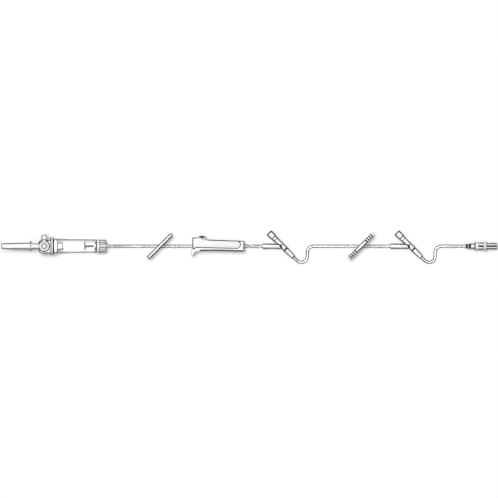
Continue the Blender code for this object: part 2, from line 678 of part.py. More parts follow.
def vent_pieces(frame, clear_white, membrane_finish, flap_finish):
    """The membrane and its round cover in the hub, and the flap over the air inlet.

    The flap's hinge line runs along Z at the left end of its base, on top of the hub.
    """
    radius = VENT_RECESS_DIAMETER / 2 - FIT
    low = vent_recess_floor + FIT
    membrane_ends = ((vent_x, 0, low), (vent_x, 0, low + MEMBRANE_THICKNESS))
    membrane = rod("vent_membrane", *membrane_ends, radius, frame, ROUND)
    membrane.data.materials.append(membrane_finish)

    cover_low = vent_boss_top - VENT_COVER_THICKNESS
    cover_top = vent_boss_top + VENT_COVER_PROUD
    cover_profile = [
        (cover_low, 0),
        (cover_low, radius),
        (cover_top - CHAMFER, radius),
        (cover_top, radius - CHAMFER),
        (cover_top, 0),
    ]
    bm = turned_mesh(cover_profile)
    stand_up = Matrix.Rotation(-math.pi / 2, 4, "Y")
    bm.transform(Matrix.Translation((vent_x, 0, 0)) @ stand_up)
    cover = solid("vent_cover", bm, frame, clear_white)
    reach = VENT_DIAMOND_REACH
    inner = reach - VENT_DIAMOND_WALL * math.sqrt(2)
    top = cover_top + VENT_DIAMOND_HEIGHT
    for name, size, base, height, merge in (
        ("cover_diamond", reach, cover_low + FIT, top, add),
        ("cover_diamond_inside", inner, cover_top - VENT_DIAMOND_HEIGHT, top + PAST, cut),
    ):
        corners = [(vent_x + size, 0), (vent_x, size), (vent_x - size, 0), (vent_x, -size)]
        outline = filleted([(x, y, size * VENT_DIAMOND_ROUNDING) for x, y in corners])
        merge(cover, prism(name, outline, base, height, frame))

    hinge = empty("vent_flap_hinge", frame, (vent_hinge_x, vent_hinge_y, air_inlet_height))
    base = GAP
    half_depth = VENT_CAP_DEPTH / 2
    lean = (VENT_CAP_BASE - VENT_CAP_TOP) / 2
    outer = filleted(
        [
            (0, base, 0),
            (lean, VENT_CAP_HEIGHT, VENT_CAP_CORNER_RADIUS),
            (VENT_CAP_BASE - lean, VENT_CAP_HEIGHT, VENT_CAP_CORNER_RADIUS),
            (VENT_CAP_BASE, base, 0),
        ]
    )
    flap = prism("vent_cap", outer, -half_depth, half_depth, hinge, flap_finish, edge=CHAMFER)
    wall = VENT_CAP_WALL
    inside = [
        (VENT_CAP_HINGE_WALL, base - PAST),
        (lean + wall, VENT_CAP_HEIGHT - wall),
        (VENT_CAP_BASE - lean - wall, VENT_CAP_HEIGHT - wall),
        (VENT_CAP_BASE - wall, base - PAST),
    ]
    cut(flap, prism("cap_hollow", inside, -half_depth + wall, half_depth - wall, hinge))
    bead_end = half_depth - GAP
    add(flap, rod("hinge_bead", (0, 0, -bead_end), (0, 0, bead_end), VENT_HINGE_DIAMETER / 2, hinge))


def spike_cover(frame, finish):
    """A closed tapered sheath with a pull rim at its mouth."""
    tip = COVER_TIP_DIAMETER / 2
    mouth = COVER_MOUTH_DIAMETER / 2
    bore = SPIKE_SEAT_DIAMETER / 2 + FIT
    deep = tip - COVER_WALL
    seat_end = cover_mouth - SPIKE_SEAT_LENGTH
    rim_back = cover_mouth - COVER_RIM_THICKNESS
    rim = COVER_RIM_DIAMETER / 2
    inside_end = cover_tip + COVER_WALL
    profile = [
        (cover_tip, 0),
        *arc((cover_tip + COVER_TIP_RADIUS, tip - COVER_TIP_RADIUS), COVER_TIP_RADIUS, 180, 90, 3),
        (rim_back, mouth),
        (rim_back, rim - CHAMFER),
        (rim_back + CHAMFER, rim),
        (cover_mouth - CHAMFER, rim),
        (cover_mouth, rim - CHAMFER),
        (cover_mouth, bore + SMALL_CHAMFER),
        (cover_mouth - COVER_MOUTH_LEAD, bore),
        (seat_end, bore),
        (inside_end + COVER_TIP_RADIUS, deep),
        (inside_end, deep - COVER_TIP_RADIUS),
        (inside_end, 0),
    ]
    return turned("spike_cover", profile, frame, finish)


def drip_chamber(frame, finish):
    """A tapered clear cup, open towards the spike, with a hole in its floor."""
    top = CHAMBER_TOP_DIAMETER / 2
    bottom = CHAMBER_BOTTOM_DIAMETER / 2
    hole = OUTLET_SPIGOT_DIAMETER / 2 + FIT
    floor_at = chamber_end - CHAMBER_FLOOR
    land_end = chamber_start + PLUG_LAND
    profile = [
        (chamber_start, top - CHAMBER_WALL),
        (chamber_start, top),
        (land_end, top),
        (chamber_end - CHAMBER_CORNER, bottom),
        (chamber_end, bottom - CHAMBER_CORNER),
        (chamber_end, hole),
        (floor_at, hole),
        (floor_at, bottom - CHAMBER_WALL - CHAMBER_CORNER),
        (floor_at - CHAMBER_CORNER, bottom - CHAMBER_WALL),
        (land_end, top - CHAMBER_WALL),
    ]
    return turned("drip_chamber", profile, frame, finish, sides=CHAMBER_SIDES)


def outlet_cap(frame, finish):
    """A disc under the chamber with a spigot into it, and a finned socket for the tube."""
    radius = OUTLET_DIAMETER / 2
    spigot = OUTLET_SPIGOT_DIAMETER / 2
    spigot_start = chamber_end - CHAMBER_FLOOR - OUTLET_SPIGOT_HEIGHT
    socket = OUTLET_SOCKET_DIAMETER / 2
    stem_seat = FILTER_STEM_DIAMETER / 2 + FIT
    stem_floor = outlet_start + FIT
    tube_floor = outlet_end - OUTLET_TUBE_DEPTH
    bore = OUTLET_BORE / 2
    profile = [
        (spigot_start, stem_seat),
        (spigot_start, spigot),
        (outlet_start, spigot),
        (outlet_start, radius - CHAMFER),
        (outlet_start + CHAMFER, radius),
        (outlet_socket_start - CHAMFER, radius),
        (outlet_socket_start, radius - CHAMFER),
        (outlet_socket_start, socket),
        (outlet_end, socket - SMALL_CHAMFER),
        (outlet_end, socket_radius),
        (tube_floor, socket_radius),
        (tube_floor, bore),
        (stem_floor, bore),
        (stem_floor, stem_seat),
    ]
    cap = turned("outlet_cap", profile, frame, finish)
    inner = (socket + socket_radius) / 2
    half = OUTLET_FIN_THICKNESS / 2
    fin_start = outlet_socket_start - OUTLET_DISC_THICKNESS / 2
    fin_end = outlet_end - OUTLET_FIN_SHORT
    fin_outline = [
        (fin_start, inner),
        (fin_end, inner),
        (fin_end, radius - OUTLET_FIN_CORNER),
        (fin_end - OUTLET_FIN_CORNER, radius),
        (fin_start, radius),
    ]
    bm = bmesh.new()
    for index in range(OUTLET_FINS):
        fin = prism_mesh(fin_outline, -half, half)
        fin.transform(Matrix.Rotation(math.tau * index / OUTLET_FINS, 4, "X"))
        holder = bpy.data.meshes.new("fin")
        fin.to_mesh(holder)
        fin.free()
        bm.from_mesh(holder)
        bpy.data.meshes.remove(holder)
    return add(cap, solid("outlet_fins", bm, frame))


def chamber_filter(frame, holder_finish, mesh_finish):
    """A hollow stem with a dished disc, and the mesh that lies in the disc."""
    disc = FILTER_DISC_DIAMETER / 2
    stem = FILTER_STEM_DIAMETER / 2
    bore = FILTER_STEM_BORE / 2
    floor_at = chamber_end - CHAMBER_FLOOR
    face = floor_at - FILTER_HEIGHT
    back = face + FILTER_DISC_THICKNESS
    dish = face + FILTER_MESH_THICKNESS + FIT
    inner = disc - FILTER_DISC_RIM
    profile = [
        (face, inner),
        (face, disc),
        (back - CHAMFER, disc),
        (back, stem + FILTER_FILLET),
        (back + FILTER_FILLET, stem),
        (outlet_start, stem),
        (outlet_start, bore),
        (dish + FILTER_DISH_FALL, bore),
        (dish, inner - FILTER_DISH_LEDGE),
        (dish, inner),
    ]
    turned("filter_holder", profile, frame, holder_finish)
    mesh_radius = inner - FIT
    mesh_back = face + FILTER_MESH_THICKNESS
    turned(
        "filter_mesh",
        [(face, 0), (face, mesh_radius), (mesh_back, mesh_radius), (mesh_back, 0)],
        frame,
        mesh_finish,
    )


def slide_clamp(name, frame, length, thickness, finish, ribs=0):
    """A rimmed plate standing on its long edge, with a keyhole through its web.

    The plate's own X runs along it, Y through it and Z across it; it turns about its middle.
    """
    half_width = CLAMP_WIDTH / 2
    half = length / 2
    corners = [(-half, -half_width), (half, -half_width), (half, half_width), (-half, half_width)]
    lay_down = Matrix.Rotation(math.pi / 2, 4, "X")

    def plate(tool_name, outline, low, high, finish=None, edge=0.0):
        bm = prism_mesh(outline, low, high, edge)
        bm.transform(lay_down)
        return solid(tool_name, bm, frame, finish)

    outline = filleted([(x, y, CLAMP_CORNER_RADIUS) for x, y in corners], steps=4)
    clamp = plate(name, outline, -thickness / 2, thickness / 2, finish, edge=CLAMP_EDGE)

    inset = ribs * CLAMP_2_RIB_PITCH + CLAMP_RIM / 2 if ribs else CLAMP_RIM
    recess_x = half - inset
    recess_z = half_width - CLAMP_RIM
    inner = [(-recess_x, -recess_z), (recess_x, -recess_z), (recess_x, recess_z), (-recess_x, recess_z)]
    recess = filleted([(x, y, CLAMP_RECESS_RADIUS) for x, y in inner])
    for side in (-1, 1):
        low, high = sorted((side * CLAMP_WEB / 2, side * (thickness / 2 + PAST)))
        cut(clamp, plate(f"{name}_recess_{side + 2}", recess, low, high))

    rib_depth = thickness / 2 - CLAMP_2_RIB_RADIUS + CLAMP_2_RIB_HEIGHT
    for end in (-1, 1):
        for index in range(ribs):
            along = end * (half - (index + 0.5) * CLAMP_2_RIB_PITCH)
            for side in (-1, 1):
                reach = half_width - CLAMP_RIM - (0 if index else CLAMP_2_END_RIB_SHORT)
                place = (along, side * rib_depth)
                ends = ((*place, -reach), (*place, reach))
                label = f"{name}_rib_{end + 2}_{index}_{side + 2}"
                add(clamp, rod(label, *ends, CLAMP_2_RIB_RADIUS, frame, sides=8))

    hole = KEYHOLE_HEIGHT / 2
    slot = KEYHOLE_SLOT_HEIGHT / 2
    straight = KEYHOLE_LENGTH / 2 - hole
    meet = straight + math.sqrt(hole**2 - slot**2)
    slot_end = KEYHOLE_LENGTH / 2 + KEYHOLE_SLOT_LENGTH
    upper_angle = math.degrees(math.asin(slot / hole))
    keyhole = [
        *arc((-straight, 0), hole, 90, 270, 8),
        *arc((straight, 0), hole, 270, 360 - upper_angle, 4),
        *arc((slot_end - slot, 0), slot, -90, 90, 4),
        *arc((straight, 0), hole, upper_angle, 90, 4),
    ]
    cut(clamp, plate(f"{name}_keyhole", keyhole, -thickness, thickness))
    return clamp


def roller_body_outline():
    """The side view of the roller clamp: nose, sloping wall, square back, waisted base and hook."""
    length = ROLLER_BODY_LENGTH
    hook_back = ROLLER_HOOK_THICKNESS - ROLLER_HOOK_PROUD
    corner = ROLLER_CORNER_RADIUS
    small = HOOK_SHOULDER_RADIUS
    return filleted(
        [
            (0, ROLLER_NOSE_TOP, corner),
            (ROLLER_NOSE_LENGTH, ROLLER_NOSE_TOP, corner),
            (ROLLER_WALL_SLOPE_LENGTH, ROLLER_WALL_FRONT_TOP, ROLLER_WALL_SLOPE_RADIUS),
            (length, ROLLER_WALL_BACK_TOP, corner),
            (length, -ROLLER_BACK_BOTTOM, corner),
            (ROLLER_WAIST_END, -ROLLER_WAIST_BOTTOM, ROLLER_WAIST_END_RADIUS),
            (ROLLER_WAIST_START, -ROLLER_WAIST_BOTTOM, ROLLER_WAIST_START_RADIUS),
            (hook_back + corner, -ROLLER_FRONT_BOTTOM, small),
            (hook_back, -ROLLER_FRONT_BOTTOM - corner, small),
            (hook_back, -ROLLER_HOOK_DEPTH, ROLLER_HOOK_RADIUS),
            (-ROLLER_HOOK_PROUD, -ROLLER_HOOK_DEPTH, ROLLER_HOOK_RADIUS),
            (-ROLLER_HOOK_PROUD, -ROLLER_HOOK_TOP, small),
            (0, -ROLLER_HOOK_SHOULDER, small),
        ]
    )


def roller_path():
    """Where the roller's axle starts and ends, in the clamp's own frame."""
    start = Vector((ROLLER_START, ROLLER_START_HEIGHT, 0))
    end = Vector((roller_end, ROLLER_END_HEIGHT, 0))
    return start, end


def roller_clamp(frame, body_finish, roller_finish):
    """A moulded channel on its side, with blind grooves for the axle, and the ridged roller in it.

    The frame's X runs along the tube, Y from the base to the open top, and Z across the channel.
    """
    half = ROLLER_BODY_WIDTH / 2
    outline = roller_body_outline()
    body = prism("roller_clamp_body", outline, -half, half, frame, body_finish, ROLLER_BODY_EDGE)

    lug_y = ROLLER_LUG_TOP - ROLLER_LUG_DIAMETER / 2
    lug_half = half - ROLLER_LUG_INSET
    lug_ends = ((ROLLER_LUG_AT, lug_y, -lug_half), (ROLLER_LUG_AT, lug_y, lug_half))
    add(body, rod("axle_lugs", *lug_ends, ROLLER_LUG_DIAMETER / 2, frame, sides=16))

    over = ROLLER_NOSE_TOP + 2 * PAST
    channel = filleted(
        [
            (ROLLER_CHANNEL_START, over, 0),
            (ROLLER_CHANNEL_START, roller_floor, ROLLER_CHANNEL_CORNER),
            (roller_channel_end, roller_floor, ROLLER_CHANNEL_CORNER),
            (roller_channel_end, over, 0),
        ]
    )
    cut(body, prism("roller_channel", channel, -roller_channel_width / 2, roller_channel_width / 2, frame))

    way_start = -ROLLER_HOOK_PROUD - PAST
    way = ((way_start, 0, 0), (ROLLER_BODY_LENGTH + PAST, 0, 0))
    cut(body, rod("tube_way", *way, tube_radius + GAP, frame, sides=16))
    slot_end = ROLLER_CHANNEL_START + 3 * PAST
    nose_slot = [(way_start, 0), (slot_end, 0), (slot_end, over), (way_start, over)]
    cut(body, prism("nose_slot", nose_slot, -tube_radius - GAP, tube_radius + GAP, frame))

    end_x = ROLLER_BODY_LENGTH - ROLLER_PANEL_END_GAP - ROLLER_PANEL_END_RADIUS
    end_y = ROLLER_PANEL_END_RADIUS - ROLLER_PANEL_BACK_DROP
    panel = [
        (ROLLER_PANEL_START, over),
        (ROLLER_PANEL_START, -ROLLER_PANEL_FRONT_DROP),
        ROLLER_PANEL_FRONT,
        ROLLER_PANEL_STEP,
        *arc((end_x, end_y), ROLLER_PANEL_END_RADIUS, -90, 60, 6),
        (ROLLER_BODY_LENGTH - ROLLER_PANEL_TOP_GAP, over),
    ]
    for side in (-1, 1):
        low, high = sorted((side * (half - ROLLER_PANEL_DEPTH), side * (half + PAST)))
        cut(body, prism(f"side_panel_{side + 2}", panel, low, high, frame))

    start, end = roller_path()
    along = (end - start).normalized()
    across = Vector((-along.y, along.x, 0)) * axle_groove_radius
    slope = math.degrees(math.atan2(along.y, along.x))
    groove = [
        *arc(start - along * FIT, axle_groove_radius, 90 + slope, 270 + slope, 6),
        *arc(end + along * FIT, axle_groove_radius, -90 + slope, 90 + slope, 6),
    ]
    reach = ROLLER_WIDTH / 2 + ROLLER_AXLE_LENGTH + FIT
    cut(body, prism("axle_groove", groove, -reach, reach, frame))

    axle = empty("roller_axle", frame, start)
    half_width = ROLLER_WIDTH / 2
    rim = 1 - ROLLER_EDGE / (ROLLER_DIAMETER / 2)
    flat = half_width - ROLLER_EDGE
    stations = [(-half_width, rim), (-flat, 1), (flat, 1), (half_width, rim)]
    bm = ridged_mesh(ROLLER_RIDGES, ROLLER_DIAMETER / 2, ROLLER_RIDGE_DEPTH, stations)
    upright = Matrix.Rotation(-math.pi / 2, 4, "Y")
    bm.transform(upright)
    roller = solid("roller", bm, axle, roller_finish)
    dish = ROLLER_DIAMETER / 2 - ROLLER_DISH_RIM
    for side in (-1, 1):
        faces = ((0, 0, side * (half_width - ROLLER_DISH_DEPTH)), (0, 0, side * (half_width + PAST)))
        cut(roller, rod(f"roller_dish_{side + 2}", *faces, dish, axle, ROUND))
    ends = half_width + ROLLER_AXLE_LENGTH
    add(roller, rod("axle_stubs", (0, 0, -ends), (0, 0, ends), ROLLER_AXLE_DIAMETER / 2, axle, 16))


def y_site(number, frame, white, rubber, ring_finish, sleeve_finish):
    """A side port: barrel and inlet arm in one moulding, crimp ring, septum and outlet sleeve.

    The frame's X runs down the barrel, away from the port's face, from where the two lines meet.
    """
    face = -Y_CAP_FACE_AT
    ring_end = face + Y_CAP_LENGTH
    band_end = ring_end + Y_BAND_LENGTH
    tail = Y_BARREL_TAIL
    barrel = Y_BARREL_DIAMETER / 2
    flange_front = face + Y_CAP_LIP + FIT
    flange_back = flange_front + Y_SEPTUM_FLANGE
    head = flange_back + FIT
    plug = Y_SEPTUM_PLUG_DIAMETER / 2
    plug_end = flange_back + Y_SEPTUM_PLUG_LENGTH
    spigot_end = tail + Y_SPIGOT_LENGTH
    body = turned(
        f"y_site_{number}_body",
        [
            (head, 0),
            (head, barrel),
            (ring_end + GAP, barrel),
            (ring_end + GAP, Y_BAND_DIAMETER / 2),
            (band_end, Y_BAND_DIAMETER / 2),
            (band_end + CHAMFER, barrel),
            (tail, barrel),
            (tail, Y_SPIGOT_DIAMETER / 2),
            (spigot_end, Y_SPIGOT_DIAMETER / 2),
            (spigot_end, 0),
        ],
        frame,
        white,
    )
    back = Vector((-math.cos(math.radians(Y_SITE_ANGLE)), -math.sin(math.radians(Y_SITE_ANGLE)), 0))
    arm_radius = Y_ARM_DIAMETER / 2
    arm = turned_mesh(
        [
            (0, 0),
            (0, arm_radius),
            (Y_ARM_LENGTH - CHAMFER, arm_radius),
            (Y_ARM_LENGTH, arm_radius - CHAMFER),
            (Y_ARM_LENGTH, 0),
        ]
    )
    arm.transform(point_along(back))
    add(body, solid(f"y_site_{number}_arm", arm, frame))
    bore = Y_BORE_DIAMETER / 2
    seat_end = plug_end + GAP
    bore_profile = [
        (head - PAST, 0),
        (head - PAST, plug + FIT),
        (seat_end, plug + FIT),
        (seat_end, bore),
        (spigot_end + PAST, bore),
        (spigot_end + PAST, 0),
    ]
    cut(body, turned(f"y_site_{number}_bore", bore_profile, frame, sides=16, phase=0.5))
    socket_at = Y_ARM_LENGTH - Y_TUBE_DEPTH
    inlet_bore = Y_INLET_BORE_DIAMETER / 2
    inlet = turned_mesh(
        [
            (0, 0),
            (0, inlet_bore),
            (socket_at, inlet_bore),
            (socket_at, socket_radius),
            (Y_ARM_LENGTH + PAST, socket_radius),
            (Y_ARM_LENGTH + PAST, 0),
        ],
        sides=16,
        phase=0.5,
    )
    inlet.transform(point_along(back))
    cut(body, solid(f"y_site_{number}_inlet", inlet, frame))

    opening = Y_CAP_OPENING / 2
    turned(
        f"y_site_{number}_septum",
        [
            (face - Y_SEPTUM_PROUD, 0),
            (face - Y_SEPTUM_PROUD, opening - FIT),
            (flange_front, opening - FIT),
            (flange_front, barrel),
            (flange_back, barrel),
            (flange_back, plug),
            (plug_end, plug),
            (plug_end, 0),
        ],
        frame,
        rubber,
    )
    ring = Y_CAP_DIAMETER / 2
    turned(
        f"y_site_{number}_ring",
        [
            (face, opening),
            (face, ring - Y_CAP_EDGE),
            (face + Y_CAP_EDGE, ring),
            (ring_end - SMALL_CHAMFER, ring),
            (ring_end, ring - SMALL_CHAMFER),
            (ring_end, barrel + FIT),
            (face + Y_CAP_LIP, barrel + FIT),
            (face + Y_CAP_LIP, opening),
        ],
        frame,
        ring_finish,
    )
    sleeve_start = tail + FIT
    sleeve_end = tail + Y_SLEEVE_LENGTH
    inner = Y_SPIGOT_DIAMETER / 2 + FIT
    turned(
        f"y_site_{number}_sleeve",
        [
            (sleeve_start, inner),
            (sleeve_start, barrel),
            (sleeve_start + Y_SLEEVE_HEAD_LENGTH, barrel - Y_SLEEVE_HEAD_TAPER),
            (sleeve_end, Y_SLEEVE_TIP_DIAMETER / 2),
            (sleeve_end, socket_radius),
            (sleeve_end - Y_TUBE_DEPTH, socket_radius),
            (sleeve_end - Y_TUBE_DEPTH, inner),
        ],
        frame,
        sleeve_finish,
    )


def connector(frame, soft, white, collar_finish, cap_finish):
    """Tube adaptor, male luer, turning collar and pull-off cover, all on the frame's X."""
    start = ADAPTOR_START_DIAMETER / 2
    end = ADAPTOR_END_DIAMETER / 2
    turned(
        "tube_adaptor",
        [(0, socket_radius), (0, start), (ADAPTOR_LENGTH, end), (ADAPTOR_LENGTH, socket_radius)],
        frame,
        soft,
    )
    body_start = ADAPTOR_LENGTH + FIT
    body_end = body_start + LUER_BODY_LENGTH
    neck_stop = body_end + LUER_NECK_LENGTH
    bead_end = neck_stop + LUER_BEAD_LENGTH
    tip = bead_end + LUER_TAPER_LENGTH
    turned(
        "male_luer",
        [
            (body_start, socket_radius),
            (body_start, LUER_BODY_DIAMETER / 2 - SMALL_CHAMFER),
            (body_start + CHAMFER, LUER_BODY_DIAMETER / 2),
            (body_end - CHAMFER, LUER_BODY_DIAMETER / 2),
            (body_end, LUER_BODY_DIAMETER / 2 - CHAMFER),
            (body_end, LUER_NECK_DIAMETER / 2),
            (neck_stop, LUER_NECK_DIAMETER / 2),
            (neck_stop, LUER_BEAD_DIAMETER / 2),
            (bead_end, LUER_BEAD_DIAMETER / 2 - SMALL_CHAMFER),
            (bead_end, LUER_TAPER_ROOT / 2),
            (tip - SMALL_CHAMFER, LUER_TAPER_TIP / 2),
            (tip, LUER_TAPER_TIP / 2 - SMALL_CHAMFER),
            (tip, LUER_BORE / 2),
            (body_start + LUER_TUBE_DEPTH, LUER_BORE / 2),
            (body_start + LUER_TUBE_DEPTH, socket_radius),
        ],
        frame,
        white,
    )

    rim = COLLAR_RIM_DIAMETER / 2
    collar_end = collar_start + COLLAR_LENGTH
    grip_start = collar_start + COLLAR_RIM_LENGTH
    hole = LUER_NECK_DIAMETER / 2 + GAP
    mouth = COLLAR_MOUTH_DIAMETER / 2
    radius = COLLAR_DIAMETER / 2
    stations = [
        (collar_start + COLLAR_RIM_LENGTH / 2, 1),
        (collar_end - CHAMFER, 1),
        (collar_end, 1 - CHAMFER / radius),
    ]
    ridges = ridged_mesh(COLLAR_RIDGES, radius, COLLAR_RIDGE_DEPTH, stations)
    collar = solid("luer_collar", ridges, frame, collar_finish)
    rim_profile = [
        (collar_start, 0),
        (collar_start, rim - SMALL_CHAMFER),
        (collar_start + SMALL_CHAMFER, rim),
        (grip_start - SMALL_CHAMFER, rim),
        (grip_start, rim - SMALL_CHAMFER),
        (grip_start, 0),
    ]
    add(collar, turned("collar_rim", rim_profile, frame, phase=0.5))
    back_wall = collar_start + COLLAR_BACK_WALL
    mouth_profile = [
        (collar_start - PAST, 0),
        (collar_start - PAST, hole),
        (back_wall, hole),
        (back_wall, mouth),
        (collar_end + PAST, mouth),
        (collar_end + PAST, 0),
    ]
    cut(collar, turned("collar_mouth", mouth_profile, frame, phase=0.5))

    sleeve_start = cap_rim_start - CAP_SLEEVE_LENGTH
    rim_end = cap_rim_start + CAP_RIM_THICKNESS
    bore = LUER_TAPER_ROOT / 2 + FIT
    bore_end = rim_end + CAP_BORE_DEPTH
    cap_rim = CAP_RIM_DIAMETER / 2
    radius = CAP_BODY_DIAMETER / 2
    waist = 1 - CAP_WAIST_DEPTH / radius
    stations = [
        (rim_end - CAP_RIM_THICKNESS / 2, 1),
        (rim_end + CAP_WAIST_START, 1),
        (rim_end + CAP_WAIST_AT, waist),
        (rim_end + CAP_WAIST_END, 1),
        (cap_end - CAP_END_EDGE, 1),
        (cap_end, 1 - CAP_END_EDGE / radius),
    ]
    flutes = ridged_mesh(CAP_FLUTES, radius, CAP_FLUTE_DEPTH, stations)
    cover = solid("luer_cover", flutes, frame, cap_finish)
    rim_profile = [
        (sleeve_start, 0),
        (sleeve_start, mouth - FIT - CHAMFER),
        (sleeve_start + CHAMFER, mouth - FIT),
        (cap_rim_start, mouth - FIT),
        (cap_rim_start, cap_rim - CHAMFER),
        (cap_rim_start + CHAMFER, cap_rim),
        (rim_end - CHAMFER, cap_rim),
        (rim_end, cap_rim - CHAMFER),
        (rim_end, 0),
    ]
    add(cover, turned("cover_rim", rim_profile, frame, phase=0.5))
    bore_profile = [
        (sleeve_start - PAST, 0),
        (sleeve_start - PAST, bore),
        (bore_end - CAP_BORE_CONE, bore),
        (bore_end, 0),
    ]
    cut(cover, turned("cover_bore", bore_profile, frame, sides=16, phase=0.5))


def s_bend(junction_x):
    """The tube's route under a Y-site, from inside its sleeve to the tube's own line."""
    low = tube_rest_height
    port = y_site_height
    sleeve_end = Y_BARREL_TAIL + Y_SLEEVE_LENGTH
    start = max(sleeve_end - Y_TUBE_DEPTH, Y_BARREL_TAIL + Y_SPIGOT_LENGTH) + GAP
    route = []
    for along in (start, sleeve_end - SOCKET_STRAIGHT, sleeve_end + GAP):
        place = y_site_slope * along
        route.append((junction_x + place.x, place.y, port))
    return route + [(junction_x + x, y, low + (port - low) * share) for x, y, share in S_BEND_ROUTE]


def tubes(root, finish):
    """The three lengths of tube, each from the floor of one socket to the floor of the next."""
    low = tube_rest_height
    tilt_x, tilt_z = math.cos(chamber_tilt), math.sin(chamber_tilt)

    def on_chamber_axis(along):
        return (along * tilt_x, 0, chamber_height - along * tilt_z)

    def into_port(junction_x):
        mouth = junction_x - Y_ARM_LENGTH
        stops = (mouth - SOCKET_STRAIGHT, mouth + SOCKET_STRAIGHT, mouth + Y_TUBE_DEPTH - GAP)
        return [(along, 0, y_site_height) for along in stops]

    clamp = clamp_centre_height
    roller = roller_centre_height
    at = ROLLER_CLAMP_AT
    channel_start = at + ROLLER_CHANNEL_START
    channel_end = at + roller_channel_end
    leave = on_chamber_axis(outlet_end + SOCKET_STRAIGHT)
    sag_in = [(channel_start + along, -share * ROLLER_FLOOR_DROP, roller) for along, share in ROLLER_SAG]
    sag_out = [(channel_end - along, -share * ROLLER_FLOOR_DROP, roller) for along, share in ROLLER_SAG]
    tube(
        "tube_1",
        [
            on_chamber_axis(outlet_end - OUTLET_TUBE_DEPTH + GAP),
            on_chamber_axis(outlet_end - SOCKET_STRAIGHT),
            leave,
            (TUBE_TOUCHDOWN_AT - TUBE_BOW, 0, (leave[2] + low) / 2 - TUBE_SINK),
            (TUBE_TOUCHDOWN_AT, 0, low),
            (TUBE_TOUCHDOWN_AT + TUBE_BOW, 0, low + TUBE_SINK / 2),
            (SLIDE_CLAMP_1_AT - TUBE_BOW, 0, clamp - TUBE_SINK),
            (SLIDE_CLAMP_1_AT, 0, clamp),
            (SLIDE_CLAMP_1_AT + TUBE_BOW, 0, clamp - TUBE_SINK),
            (at - TUBE_BOW, 0, roller - TUBE_SINK),
            (at - SOCKET_STRAIGHT, 0, roller),
            *sag_in,
            *reversed(sag_out),
            (at + ROLLER_BODY_LENGTH + TUBE_BOW / 2, 0, roller - TUBE_SINK / 2),
            *into_port(Y_SITE_1_AT),
        ],
        root,
        finish,
    )
    y_site_2_at = Y_SITE_1_AT + Y_SITE_PITCH
    tube(
        "tube_2",
        [
            *s_bend(Y_SITE_1_AT),
            (SLIDE_CLAMP_2_AT - 4 * TUBE_BOW, 0, low),
            (SLIDE_CLAMP_2_AT - 3 * TUBE_BOW, 0, low + TUBE_LIFT),
            (SLIDE_CLAMP_2_AT - 2 * TUBE_BOW, 0, low + TUBE_SINK),
            (SLIDE_CLAMP_2_AT - TUBE_BOW, 0, clamp - TUBE_SINK),
            (SLIDE_CLAMP_2_AT, 0, clamp),
            (SLIDE_CLAMP_2_AT + TUBE_BOW, 0, clamp - TUBE_SINK),
            *into_port(y_site_2_at),
        ],
        root,
        finish,
    )
    luer_floor = CONNECTOR_AT + ADAPTOR_LENGTH + FIT + LUER_TUBE_DEPTH - GAP
    tube(
        "tube_3",
        [
            *s_bend(y_site_2_at),
            (CONNECTOR_AT - TUBE_BOW, 0, connector_height - TUBE_SINK),
            (CONNECTOR_AT - SOCKET_STRAIGHT, 0, connector_height),
            (CONNECTOR_AT + SOCKET_STRAIGHT, 0, connector_height),
            (luer_floor, 0, connector_height),
        ],
        root,
        finish,
    )


